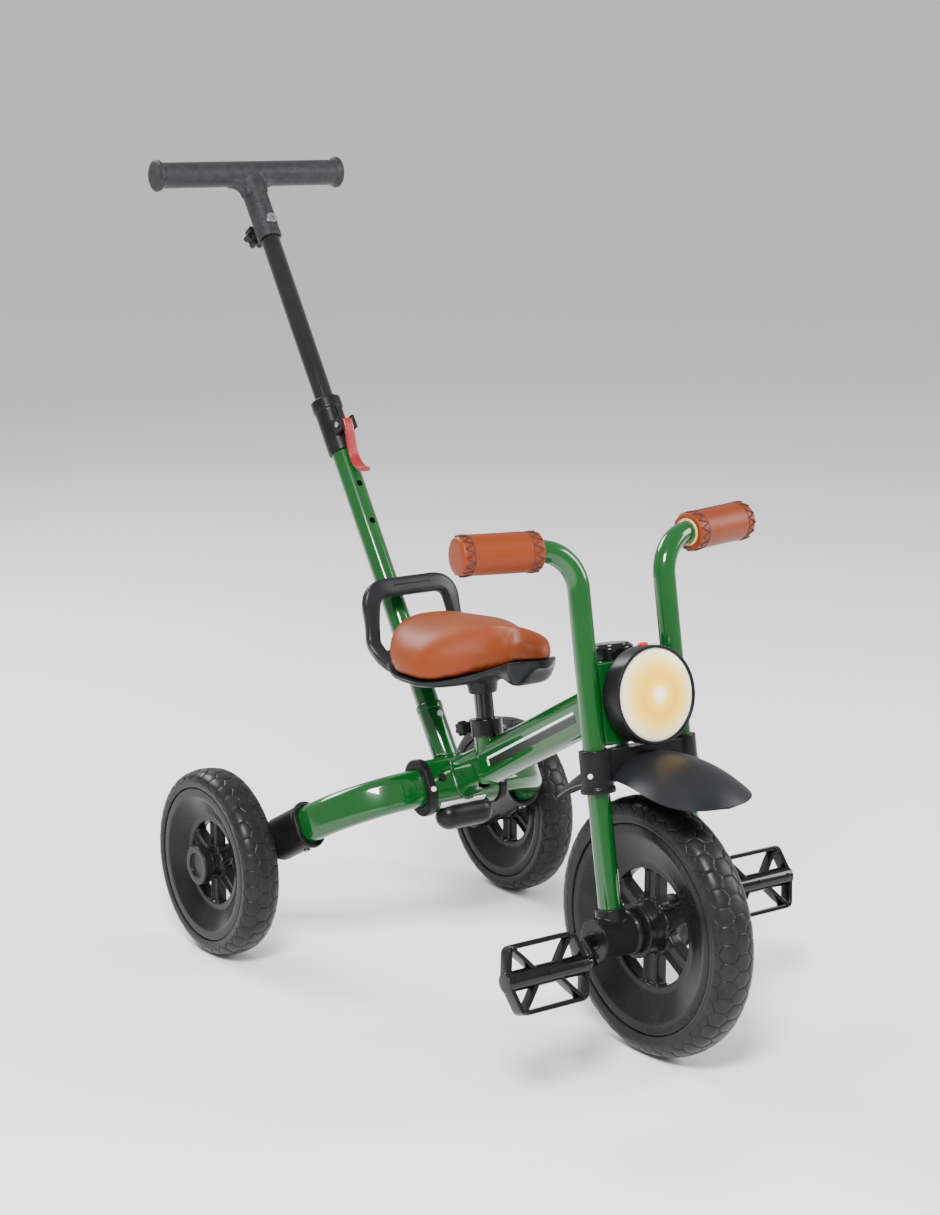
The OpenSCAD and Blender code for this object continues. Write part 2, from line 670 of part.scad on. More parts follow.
lamp_edge = 9; // rounding of the housing's back edge
module lamp_housing() color(black) at_lamp() difference() {
    union() {
        cylinder(r = lamp_r - lamp_edge, h = lamp_depth);
        translate([0, 0, lamp_edge]) cylinder(r = lamp_r, h = lamp_depth - lamp_edge);
        translate([0, 0, lamp_edge]) rotate_extrude() translate([lamp_r - lamp_edge, 0]) circle(lamp_edge);
    }
    translate([0, 0, 3]) cylinder(r = lamp_r - lamp_edge - 2, h = lamp_depth);
    translate([0, 0, lamp_edge]) cylinder(r = lamp_r - 3, h = lamp_depth);
    translate([0, lamp_r - 6, 17]) rotate([-90, 0, 0]) cylinder(r = 5 + fit, h = 12);
}

module lamp_batteries() color([0.2, 0.3, 0.6]) at_lamp() for (s = [-1, 1])
    translate([-22, s * 6, 9]) rotate([0, 90, 0]) cylinder(d = 11, h = 44.5);

module lamp_board() color([0.1, 0.45, 0.2]) at_lamp() {
    translate([-18, -18, 16]) cube([36, 36, 1.6]);
    translate([0, 0, 17.6]) cylinder(r = 3.5, h = 3);
    for (s = [-1, 1]) for (t = [-1, 1]) translate([s * 15, t * 15, 3 + weld])
        cylinder(r = 1.8, h = 13 - weld);
}

module lamp_reflector() color([0.93, 0.93, 0.9]) at_lamp() difference() {
    translate([0, 0, 22.6]) cylinder(r = lamp_r - 3 - weld, h = lamp_depth - 24.6);
    translate([0, 0, 23.5]) cylinder(r1 = lamp_r - 16, r2 = lamp_r - 5, h = lamp_depth - 24);
    translate([0, 0, 21]) cylinder(r = 6, h = 5);
}

module lamp_lens() color([1, 0.93, 0.72]) at_lamp() {
    translate([0, 0, lamp_depth - 2 + weld]) cylinder(r = lamp_r - 3 - weld, h = 2.2);
    translate([0, 0, lamp_depth]) cylinder(r = lens_r, h = 2.5);
    translate([0, 0, lamp_depth + 2.5]) cylinder(r1 = lens_r, r2 = lens_r - 9, h = 2);
}

module lamp_button() color([0.75, 0.1, 0.1]) at_lamp()
    translate([0, lamp_r - 2.9, 17]) rotate([-90, 0, 0]) cylinder(r = 5, h = 5.6);

// ---- grips ----

module grip_cores() color([0.85, 0.8, 0.7]) both_sides() at_grip() difference() {
    cylinder(r = grip_d / 2 - 3, h = grip_l - 3);
    translate([0, 0, -1]) cylinder(r = bar_d / 2 + weld, h = grip_l - 3 + weld);
}

module grip_covers() color(tan_leather) both_sides() at_grip() difference() {
    union() {
        translate([0, 0, 4]) cylinder(r = grip_d / 2, h = grip_l - 10);
        translate([0, 0, 0.4]) cylinder(r = grip_d / 2 - 4, h = grip_l);
        translate([0, 0, 4.4]) rotate_extrude() translate([grip_d / 2 - 4, 0]) circle(4);
        translate([0, 0, grip_l - 6]) rotate_extrude() translate([grip_d / 2 - 6, 0]) circle(6);
    }
    translate([0, 0, -1]) cylinder(r = grip_d / 2 - 3 + weld, h = grip_l - 2 + weld);
}

// ---- saddle ----

// Outline of the saddle: s runs from 0 at the nose to 1 at the rear
nose_half = saddle_w * 0.155;
function saddle_half(s) = (nose_half * sqrt(1 - pow(1 - min(s / 0.14, 1), 2))
    + (saddle_w / 2 - nose_half) * smooth((s - 0.2) / 0.38))
    * sqrt(max(1 - pow(max((s - 0.62) / 0.38, 0), 2.2), 0));
function saddle_rim(s) = saddle_z + 36 * (1 - smooth(s / 0.55)) + 20 * smooth((s - 0.7) / 0.3);
function saddle_top(s) = saddle_z + saddle_h - 5 * smooth(s / 0.8);
function saddle_swell(s) = pow(max(1 - pow(abs(2 * s - 1), 9), 0), 0.5);
function saddle_y(s) = saddle_rear - saddle_l * (1 - s);
function soft(c) = sign(c) * pow(abs(c), 0.75);
saddle_steps = [for (i = [0 : 30]) 0.5 - 0.5 * cos(180 * (i + 0.35) / 30.7)];

// Ring of the cushion, grown by grow on every side
function cushion_ring(s, grow) = let (half = saddle_half(s) + grow, low = saddle_rim(s) + 0.2,
    high = saddle_swell(s) * (saddle_top(s) - low) + grow)
    [for (j = [0 : 24]) let (a = 180 - 180 * j / 24) [half * soft(cos(a)), saddle_y(s),
        low - grow + (high + grow) * soft(sin(a))]];

module cushion_body(grow) placed() loft([for (s = saddle_steps) cushion_ring(s, grow)]);
module saddle_cushion() color(tan_leather) cushion_body(0);

// The base is 8 mm deep, and deeper under the nose, where it makes a finger hold
function nose_depth(s) = 10 * smooth((s - 0.02) / 0.08) * (1 - smooth((s - 0.16) / 0.1));
function base_ring(s) = let (half = saddle_half(s) + 1, top = saddle_rim(s), low = top - 8 - nose_depth(s))
    [[-half, saddle_y(s), top], [half, saddle_y(s), top], [half, saddle_y(s), top - 4],
        [half * 0.86, saddle_y(s), low], [-half * 0.86, saddle_y(s), low],
        [-half, saddle_y(s), top - 4]];

// Outline of the lift loop's arch, half wide and tall from its foot, with corner radius r
module arch(half, tall, r) {
    translate([-half, 0]) square([2 * half, tall - r]);
    translate([-half + r, 0]) square([2 * (half - r), tall]);
    for (s = [-1, 1]) translate([s * (half - r), tall - r]) circle(r);
}

loop_y = saddle_rear + 1;
loop_half = saddle_w * 0.4;
loop_tall = saddle_h + 12;
module at_loop() placed() translate([0, loop_y, saddle_z + 14]) rotate([80, 0, 0]) children();
module saddle_base() color([0.16, 0.16, 0.18]) difference() {
    union() {
        placed() loft([for (s = saddle_steps) base_ring(s)]);
        seat_bar(16, post_top - 14, post_top + 5);
        at_loop() translate([0, 0, -12]) linear_extrude(12) difference() {
            arch(loop_half, loop_tall, 38);
            translate([0, 14]) arch(loop_half - 15, loop_tall - 36, 26);
        }
        placed() translate([-loop_half + 2, loop_y - 38, saddle_z + 12]) cube([2 * loop_half - 4, 44, 7]);
    }
    cushion_body(0.1);
    seat_bar(post_d / 2 + weld, post_top - 30, post_top + weld);
    at_loop() translate([-26, loop_tall - 18, -1.2]) cube([52, 10, 3]);
    at_pole() translate([-15, -21.5, 120]) cube([30, 60, 70]);
}

module seat_post() color([0.1, 0.1, 0.11]) difference() {
    seat_bar(post_d / 2, post_foot, post_top);
    seat_bar(post_d / 2 - 4, post_foot - 1, post_top - 12);
}

module seat_clamp() color(black) difference() {
    union() {
        seat_bar(seat_tube_d / 2 + 3.5, seat_tube_top - clamp_h + 10, seat_tube_top + 10);
        at_seat() translate([-9, seat_tube_d / 2, seat_tube_top - 6]) cube([18, 14, 12]);
    }
    seat_bar(seat_tube_d / 2 + weld, seat_tube_top - clamp_h, seat_tube_top + weld);
    seat_bar(post_d / 2 + fit, seat_tube_top - 1, seat_tube_top + 11);
    at_seat() translate([-1, seat_tube_d / 2 - 5, seat_tube_top - 11]) cube([2, 30, 22]);
    at_seat() translate([0, ear_p, seat_tube_top]) x_rod(2.5 + fit, -12, 12);
}

// Clamp screw with its knob on the rider's right
module seat_knob() color(black) at_seat() translate([0, ear_p, seat_tube_top]) {
    x_rod(2.5, -13, 10);
    translate([-9 - gap, 0, 0]) rotate([0, -90, 0]) lobed_knob(8, 9, 6);
}

// ---- push bar ----

module lower_push_tube() color(green) difference() {
    pole_bar(lower_d / 2, pole_foot, clamp_end - 14);
    pole_bar(upper_d / 2 + fit, pole_foot - 1, clamp_end);
    for (q = [clamp_q - 43, clamp_q - 88]) at_pole() translate([0, 0, q]) rotate([90, 0, 0])
        cylinder(r = 3.5, h = 20);
    at_pole() translate([0, 0, socket_q - 16]) rotate([90, 0, 0]) cylinder(r = 3.5 + fit, h = 20);
}

// Sprung button of the lower tube, standing out of the socket's hole
module snap_button() color(steel) at_pole() translate([0, -8, socket_q - 16]) rotate([90, 0, 0])
    cylinder(r = 3.5, h = socket_d / 2 - 5.5);

module pole_clamp() color(black) difference() {
    union() {
        pole_bar(15.5, clamp_q, clamp_end - 12);
        pole_bar(16.8, clamp_end - 13, clamp_end);
        for (s = [-1, 1]) at_pole() translate([s * 8.5 - 2, -29, lever_q - 8]) cube([4, 18, 16]);
    }
    pole_bar(lower_d / 2 + weld, clamp_q - 1, clamp_end - 14 + weld);
    pole_bar(upper_d / 2 + fit, clamp_q - 1, clamp_end + 1);
    at_pole() translate([0, lever_p, lever_q]) x_rod(3 + weld, -20, 20);
    at_pole() translate([-1, -30, clamp_q + 2]) cube([2, 20, clamp_l - 16]);
}

// Quick-release lever with its pin: a cam at the clamp and a tail that curls away from the bar
lever_l = 64;
function lever_curve(t) = [10 * smooth(t / 0.75) - 5 - 14 * pow(t, 7), -lever_l * t];
module clamp_lever() color([0.6, 0.13, 0.13]) at_pole() translate([0, lever_p, lever_q]) {
    x_rod(6.2, -6, 6);
    translate([-6, 0, 0]) rotate([90, 0, 90]) linear_extrude(12) polygon(concat(
        [for (i = [0 : 12]) lever_curve(i / 12) - [2.2, 0]],
        [for (i = [12 : -1 : 0]) lever_curve(i / 12) + [2.2, 0]]));
    x_rod(3, -12.5, 12.5);
}

module upper_push_tube() color([0.03, 0.03, 0.03]) difference() {
    pole_bar(upper_d / 2, clamp_end - upper_in, handle_q - 22);
    pole_bar(upper_d / 2 - wall, clamp_end - upper_in - 1, handle_q - 21);
    at_pole() translate([0, 0, knob_q]) rotate([90, 0, 0]) cylinder(r = 3 + weld, h = 40, center = true);
}

module push_handle() color([0.16, 0.16, 0.17]) difference() {
    union() {
        pole_bar(stem_d / 2, stem_q, handle_q);
        at_pole() translate([0, 0, handle_q]) {
            x_rod(handle_d / 2, -handle_l / 2, handle_l / 2);
            both_sides() {
                x_rod(flange_r, handle_l / 2 - 4, handle_l / 2 - 1);
                translate([handle_l / 2 - 9, 0, 0]) rotate([0, 90, 0])
                    cylinder(r1 = handle_d / 2, r2 = flange_r, h = 5);
                translate([stem_d / 2 + neck_r, 0, -handle_d / 2 - neck_r]) neck_fillet();
            }
        }
    }
    pole_bar(upper_d / 2 + weld, stem_q - 1, handle_q - 22 + weld);
    at_pole() translate([0, 0, knob_q]) rotate([90, 0, 0]) cylinder(r = 3 + weld, h = 60, center = true);
}

// Web that blends the stem into the bar
neck_r = 11;
module neck_fillet() rotate([90, 0, 0]) linear_extrude(16, center = true) difference() {
    translate([-neck_r - 6, -2]) square([neck_r + 8, neck_r + 8]);
    circle(neck_r);
}

module handle_bolt() color(steel) at_pole() translate([0, 0, knob_q]) rotate([90, 0, 0]) {
    translate([0, 0, -24]) cylinder(r = 3, h = 24 + stem_d / 2 + 1);
    translate([0, 0, stem_d / 2 + weld]) screw_head(6, 3.5);
}

module star_knob() color(black) at_pole() translate([0, stem_d / 2 + gap, knob_q]) rotate([-90, 0, 0])
    difference() {
        union() {
            cylinder(r = 6, h = 8);
            translate([0, 0, 7]) lobed_knob(13, 11, 6);
        }
        translate([0, 0, -1]) cylinder(r = 3 + fit, h = 12);
    }

main_beam();
cross_tube();
head_tube();
seat_tube();
push_socket();
stripe_decals();
line_decals();
blank_label();
rear_legs();
leg_collars();
leg_button(1);  // leg_button_left
leg_button(-1);  // leg_button_right
collar_screws();
axle_holders();
holder_screws();
rear_axles();
under_cover();
head_bearings();
rim_rear(1);  // rim_rear_left
tyre_rear(1);  // tyre_rear_left
hub_rear(1);  // hub_rear_left
rim_rear(-1);  // rim_rear_right
tyre_rear(-1);  // tyre_rear_right
hub_rear(-1);  // hub_rear_right
rim_front();
tyre_front();
crank_rod();
pedal_left();
pedal_right();
fork_tubes();
fork_bridge();
fork_ends();
front_bushes();
steering_bolt();
stem_cap();
crown();
crown_screws();
front_fender();
rear_fender();
lamp_housing();
lamp_reflector();
lamp_board();
lamp_batteries();
lamp_lens();
lamp_button();
grip_cores();
grip_covers();
saddle_base();
saddle_cushion();
seat_post();
seat_clamp();
seat_knob();
lower_push_tube();
snap_button();
pole_clamp();
clamp_lever();
upper_push_tube();
push_handle();
handle_bolt();
star_knob();
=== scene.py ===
import math
import bmesh
import bpy
import numpy as np
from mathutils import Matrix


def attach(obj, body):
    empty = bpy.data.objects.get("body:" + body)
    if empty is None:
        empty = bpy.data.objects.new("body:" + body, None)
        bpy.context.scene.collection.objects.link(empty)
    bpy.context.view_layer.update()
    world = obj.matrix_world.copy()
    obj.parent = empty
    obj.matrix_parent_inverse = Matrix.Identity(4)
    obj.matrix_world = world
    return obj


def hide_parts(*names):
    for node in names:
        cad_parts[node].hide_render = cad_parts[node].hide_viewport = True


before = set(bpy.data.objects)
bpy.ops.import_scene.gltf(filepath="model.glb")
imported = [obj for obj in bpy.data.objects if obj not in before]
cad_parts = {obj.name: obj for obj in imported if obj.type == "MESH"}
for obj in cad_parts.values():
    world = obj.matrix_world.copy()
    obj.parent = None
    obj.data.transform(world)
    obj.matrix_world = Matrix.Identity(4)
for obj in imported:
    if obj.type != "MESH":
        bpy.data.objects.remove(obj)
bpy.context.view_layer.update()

# ---- driving sizes in millimetres and degrees, as in the CAD source ----

MM = 0.001
MID_Y = 314.8334  # the object's middle, front to back, measured from the front axle
FRONT_R, FRONT_W = 127, 44
REAR_R, REAR_W = 101, 42
WHEELBASE, HALF_TRACK = 497, 195
RAKE, LEG_LEAN, POST_LEAN, POLE_LEAN = 9.9, 29.634, 9, 33
CROSS_Y, CROSS_Z = 330, 196
BAR_R, LEG_X, HEAD_BACK = 11, 52.3, 28
BEND_U, BEND_R, BEND_TURN, SWEEP = 330, 40, 87, 9
GRIP_R = 19
ROD_R, CRANK_L, PEDAL_X, PEDAL_L, PEDAL_W, PEDAL_TILT = 6, 45, 120.744, 92, 64, 70
SADDLE_REAR, SADDLE_L, SADDLE_W, SADDLE_Z, SADDLE_TOP = 400, 226, 152, 320, 378
LAMP_R, LENS_R = 47, 42.5
LEVER_P, LEVER_Q, LEVER_L = -23, 412, 64


# ---- frames of reference, in millimetres ----

def local(origin, lean):
    """Frame that leans back by lean degrees: local x, p, q run along X, (0, cos, -sin) and (0, sin, cos)."""
    a = math.radians(lean)
    rows = np.array([[1, 0, 0], [0, math.cos(a), -math.sin(a)], [0, math.sin(a), math.cos(a)]])
    start = np.array(origin, float)
    return lambda points: (np.asarray(points, float) @ rows + start) * MM


BUILD = local((0, -MID_Y, 0), 0)
FORK = local((0, -MID_Y, FRONT_R), RAKE)
LEGS = local((0, CROSS_Y - MID_Y, CROSS_Z), LEG_LEAN)
SEAT = local((0, CROSS_Y - 60 - MID_Y, 228.1625), POST_LEAN)
POLE = local((0, CROSS_Y + 4 - MID_Y, CROSS_Z), POLE_LEAN)
FRONT_AXLE = local((0, -MID_Y, FRONT_R), 0)


def rear_axle(side):
    """Frame at a rear wheel's centre: x runs outwards, and side is 1 on the left and -1 on the right."""
    axle = local((side * HALF_TRACK, WHEELBASE - MID_Y, REAR_R), 0)
    return lambda points: axle(np.asarray(points, float) * np.array([side, side, 1]))


def moved(place, offset):
    """The same frame with its origin moved by offset."""
    return lambda points: place(np.asarray(points, float) + np.array(offset, float))


# ---- mesh making: every shape is worked out as whole arrays ----

def enclosed(co, polys):
    """Six times the signed volume: the sum of a . (b x c) over the faces split into fans."""
    total = 0.0
    for p in polys:
        for k in range(1, p.shape[1] - 1):
            a, b, c = co[p[:, 0]] - co[0], co[p[:, k]] - co[0], co[p[:, k + 1]] - co[0]
            total += np.einsum("ij,ij->", a, np.cross(b, c))
    return total


def shell(grid, loop_u=False, loop_v=True, pole_start=None, pole_end=None):
    """Closed skin through a grid[u, v] of points; open ends in u are closed by a fan to a pole point."""
    m, n = grid.shape[:2]
    co = grid.reshape(-1, 3)
    i = np.arange(m if loop_u else m - 1)[:, None]
    j = np.arange(n if loop_v else n - 1)[None, :]
    i2, j2 = (i + 1) % m, (j + 1) % n
    polys = [np.stack([i * n + j, i * n + j2, i2 * n + j2, i2 * n + j], -1).reshape(-1, 4)]
    if not loop_u:
        ring = np.arange(n)
        for row, pole, flip in ((0, pole_start, False), (m - 1, pole_end, True)):
            centre = grid[row].mean(0) if pole is None else np.asarray(pole, float)
            co = np.vstack([co, centre[None]])
            tip = np.full(n, len(co) - 1)
            a, b = row * n + ring, row * n + (ring + 1) % n
            fan = np.stack([tip, b, a] if not flip else [tip, a, b], -1)
            polys.append(fan)
    if enclosed(co, polys) < 0:
        polys = [p[:, ::-1] for p in polys]
    return co, polys


def mirrored(part):
    """The same shell on the other side of x = 0, still facing outwards."""
    co, polys = part
    return co * np.array([-1.0, 1, 1]), [p[:, ::-1] for p in polys]


def mesh_of(name, parts):
    """One mesh from several shells."""
    mesh = bpy.data.meshes.new(name)
    co = np.vstack([p[0] for p in parts])
    base = np.cumsum([0] + [len(p[0]) for p in parts])
    polys = [q + base[i] for i, p in enumerate(parts) for q in p[1]]
    sizes = np.concatenate([np.full(len(q), q.shape[1]) for q in polys])
    corners = np.concatenate([q.ravel() for q in polys])
    mesh.vertices.add(len(co))
    mesh.vertices.foreach_set("co", co.ravel())
    mesh.loops.add(len(corners))
    mesh.loops.foreach_set("vertex_index", corners.astype(np.int32))
    mesh.polygons.add(len(sizes))
    starts = np.concatenate([[0], np.cumsum(sizes)[:-1]])
    mesh.polygons.foreach_set("loop_start", starts.astype(np.int32))
    mesh.update(calc_edges=True)
    mesh.validate()
    return mesh


def piece(name, parts, material, body, nodes=(), sharp=38):
    """A new object on a body, in place of the CAD nodes it stands for."""
    mesh = parts if isinstance(parts, bpy.types.Mesh) else mesh_of(name, parts)
    mesh.polygons.foreach_set("use_smooth", np.ones(len(mesh.polygons), bool))
    mesh.set_sharp_from_angle(angle=math.radians(sharp))
    obj = bpy.data.objects.new(name, mesh)
    bpy.context.scene.collection.objects.link(obj)
    mesh.materials.clear()
    mesh.materials.append(material)
    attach(obj, body)
    if nodes:
        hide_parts(*nodes)
    return obj


def rounded(points, radius, steps=5, closed=False):
    """Polyline with each corner c between a and b replaced by (1-t)^2 a + 2t(1-t) c + t^2 b."""
    p = np.asarray(points, float)
    before, after = np.roll(p, 1, 0), np.roll(p, -1, 0)
    inwards, outwards = before - p, after - p
    lin = np.linalg.norm(inwards, axis=1)
    lout = np.linalg.norm(outwards, axis=1)
    r = np.minimum(np.broadcast_to(radius, len(p)), 0.48 * np.minimum(lin, lout))
    a = p + inwards / lin[:, None] * r[:, None]
    b = p + outwards / lout[:, None] * r[:, None]
    t = np.linspace(0, 1, steps)[None, :, None]
    arcs = (1 - t) ** 2 * a[:, None] + 2 * t * (1 - t) * p[:, None] + t ** 2 * b[:, None]
    if closed:
        return arcs.reshape(-1, p.shape[1])
    return np.vstack([p[:1], arcs[1:-1].reshape(-1, p.shape[1]), p[-1:]])


AXES = {"q": (0, 1, 2), "x": (1, 2, 0), "p": (2, 0, 1)}


def turned(place, profile, axis="q", steps=96, loop=False, shape=None):
    """Profile (radius, height) carried round an axis: (r cos t, r sin t, h). shape(t, h) scales the radius."""
    prof = np.asarray(profile, float)
    poles = [None, None]
    order = list(AXES[axis])

    def put(r, t, h):
        points = np.zeros(np.broadcast(r, t, h).shape + (3,))
        points[..., order[0]] = r * np.cos(t)
        points[..., order[1]] = r * np.sin(t)
        points[..., order[2]] = h
        return place(points)

    if not loop:
        if prof[0, 0] < 1e-6:
            poles[0], prof = put(0.0, 0.0, prof[0, 1]), prof[1:]
        if prof[-1, 0] < 1e-6:
            poles[1], prof = put(0.0, 0.0, prof[-1, 1]), prof[:-1]
    t = np.linspace(0, 2 * np.pi, steps, endpoint=False)[None]
    r, h = prof[:, :1], prof[:, 1:]
    grid = put(r if shape is None else r * shape(t, h), t, h)
    return shell(grid, loop_u=loop, loop_v=True, pole_start=poles[0], pole_end=poles[1])


def rod(place, r, h0, h1, axis="q", edge=0.6, steps=64):
    """Solid round bar with eased edges."""
    return turned(place, rounded([(0, h0), (r, h0), (r, h1), (0, h1)], edge), axis, steps)


def ring(place, r, bore, h0, h1, axis="q", edge=0.6, steps=96):
    """Round ring with eased edges."""
    outline = rounded([(bore, h0), (r, h0), (r, h1), (bore, h1)], edge, closed=True)
    return turned(place, outline, axis, steps, loop=True)


def swept(place, path, outline, up=(0, 0, 1), loop=False, scale=None):
    """Outline (side, height) carried along a path, square to it: p + a * (t x up) + b * ((t x up) x t)."""
    path = np.asarray(path, float)
    if loop:
        t = np.roll(path, -1, 0) - np.roll(path, 1, 0)
    else:
        t = np.gradient(path, axis=0)
    t /= np.linalg.norm(t, axis=1)[:, None]
    side = np.cross(t, np.broadcast_to(np.array(up, float), path.shape))
    side /= np.linalg.norm(side, axis=1)[:, None]
    lift = np.cross(side, t)
    o = np.asarray(outline, float)
    k = np.ones(len(path)) if scale is None else np.asarray(scale, float)
    o = o[None] * (k[:, None, None] if k.ndim == 1 else k[:, None, :])
    grid = path[:, None] + o[..., :1] * side[:, None] + o[..., 1:] * lift[:, None]
    return shell(place(grid), loop_u=loop, loop_v=True)


def circle(r, n=32):
    t = np.linspace(0, 2 * np.pi, n, endpoint=False)
    return np.stack([r * np.cos(t), r * np.sin(t)], -1)


def oval(a, b, n=64):
    """Flat-sided oval a across and b high."""
    t = (np.arange(n) + 0.5) * 2 * np.pi / n
    return np.stack([a / 2 * np.cos(t), a / 2 * np.sin(t) + np.sign(np.sin(t)) * (b - a) / 2], -1)


def box_outline(a, b, r):
    """Rectangle a across and b high with rounded corners."""
    return rounded([(a / 2, b / 2), (-a / 2, b / 2), (-a / 2, -b / 2), (a / 2, -b / 2)], r, closed=True)


def arc(start, heading, r, turn, n=24):
    """Points in the plane of a left turn of radius r: p + r (sin(h + a) - sin h, cos h - cos(h + a))."""
    h = math.radians(heading)
    a = np.radians(np.linspace(0, turn, n))
    k = math.copysign(1, turn)
    x = start[0] + r * k * (np.sin(h + a) - math.sin(h))
    y = start[1] + r * k * (math.cos(h) - np.cos(h + a))
    return np.stack([x, y], -1)


def softened(name, node, voxel, passes, material, body, extra=(), sharp=180):
    """A CAD part with its edges eased: a merged copy, remeshed at voxel mm and smoothed."""
    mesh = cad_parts[node].data.copy()
    bm = bmesh.new()
    bm.from_mesh(mesh)
    bmesh.ops.remove_doubles(bm, verts=bm.verts, dist=2e-6)
    bm.to_mesh(mesh)
    bm.free()
    return fused(name, mesh, voxel, passes, material, body, (node, *extra), sharp)


def fused(name, parts, voxel, passes, material, body, nodes, sharp=180):
    """Shells joined into one skin by remeshing at voxel mm, with edges and joins smoothed."""
    mesh = parts if isinstance(parts, bpy.types.Mesh) else mesh_of(name, parts)
    work = bpy.data.objects.new(name + "_work", mesh)
    bpy.context.scene.collection.objects.link(work)
    remesh = work.modifiers.new("remesh", "REMESH")
    remesh.mode = "VOXEL"
    remesh.voxel_size = voxel * MM
    smooth = work.modifiers.new("smooth", "SMOOTH")
    smooth.factor = 0.5
    smooth.iterations = passes
    final = bpy.data.meshes.new_from_object(work.evaluated_get(bpy.context.evaluated_depsgraph_get()))
    bpy.data.objects.remove(work)
    return piece(name, final, material, body, nodes, sharp)


# ---- shader groups ----

def new_group(name, inputs, outputs):
    group = bpy.data.node_groups.new(name, "ShaderNodeTree")
    for label, kind, value in inputs:
        socket = group.interface.new_socket(label, in_out="INPUT", socket_type="NodeSocket" + kind)
        socket.default_value = value
    for label, kind in outputs:
        group.interface.new_socket(label, in_out="OUTPUT", socket_type="NodeSocket" + kind)
    return group, group.nodes.new("NodeGroupInput"), group.nodes.new("NodeGroupOutput")


def node(tree, kind, links=(), **settings):
    """Adds a node, sets its properties and links (input, source socket) or (input, value) pairs."""
    n = tree.nodes.new(kind)
    for key, value in settings.items():
        setattr(n, key, value)
    for socket, source in links:
        if isinstance(source, bpy.types.NodeSocket):
            tree.links.new(source, n.inputs[socket])
        else:
            n.inputs[socket].default_value = source
    return n


def calc(tree, operation, *values):
    """One step of arithmetic on numbers or sockets."""
    return node(tree, "ShaderNodeMath", enumerate(values), operation=operation).outputs[0]


def scaled(tree, color, gain):
    return node(tree, "ShaderNodeVectorMath", [(0, color), ("Scale", gain)], operation="SCALE").outputs[0]


def mottle_group():
    """Uneven finish: colour and roughness wander on broad noise, and fine dust, strongest where the broad noise is
    high, pulls the colour towards the dust colour.
    """
    g, i, o = new_group("Mottle", [
        ("Color", "Color", (0.5, 0.5, 0.5, 1)), ("Variation", "Float", 0.1), ("Scale", "Float", 40.0),
        ("Roughness", "Float", 0.4), ("Roughness Variation", "Float", 0.08),
        ("Dust", "Float", 0.0), ("Dust Color", "Color", (0.5, 0.48, 0.45, 1))],
        [("Color", "Color"), ("Roughness", "Float"), ("Mask", "Float")])
    own = i.outputs
    at = node(g, "ShaderNodeTexCoord").outputs["Object"]
    broad = node(g, "ShaderNodeTexNoise", [("Vector", at), ("Scale", own["Scale"]), ("Detail", 4.0)])
    fine = node(g, "ShaderNodeTexNoise", [("Vector", at), ("Scale", 900.0), ("Detail", 2.0)])
    centred = calc(g, "SUBTRACT", broad.outputs["Fac"], 0.5)
    swing = calc(g, "MULTIPLY", centred, own["Variation"])
    tinted = scaled(g, own["Color"], calc(g, "ADD", swing, 1.0))
    dusty = calc(g, "MULTIPLY", fine.outputs["Fac"], own["Dust"])
    mask = calc(g, "MULTIPLY", dusty, broad.outputs["Fac"])
    mixed = node(g, "ShaderNodeMix", [(0, mask), (6, tinted), (7, own["Dust Color"])], data_type="RGBA")
    rough = calc(g, "MULTIPLY_ADD", centred, own["Roughness Variation"], own["Roughness"])
    g.links.new(mixed.outputs[2], o.inputs["Color"])
    g.links.new(rough, o.inputs["Roughness"])
    g.links.new(mask, o.inputs["Mask"])
    return g


def grain_group():
    """Moulded grain: pits of a fine cell pattern, softened by noise, as a normal."""
    g, i, o = new_group("Moulded Grain", [
        ("Scale", "Float", 800.0), ("Strength", "Float", 0.2), ("Distance", "Float", 0.0003)],
        [("Normal", "Vector"), ("Height", "Float")])
    own = i.outputs
    at = node(g, "ShaderNodeTexCoord").outputs["Object"]
    cells = node(g, "ShaderNodeTexVoronoi", [("Vector", at), ("Scale", own["Scale"])])
    noise = node(g, "ShaderNodeTexNoise", [("Vector", at), ("Scale", own["Scale"]), ("Detail", 3.0)])
    height = calc(g, "MULTIPLY_ADD", cells.outputs["Distance"], 0.6, noise.outputs["Fac"])
    bump = node(g, "ShaderNodeBump", [
        ("Strength", own["Strength"]), ("Distance", own["Distance"]), ("Height", height)])
    g.links.new(bump.outputs[0], o.inputs["Normal"])
    g.links.new(height, o.inputs["Height"])
    return g


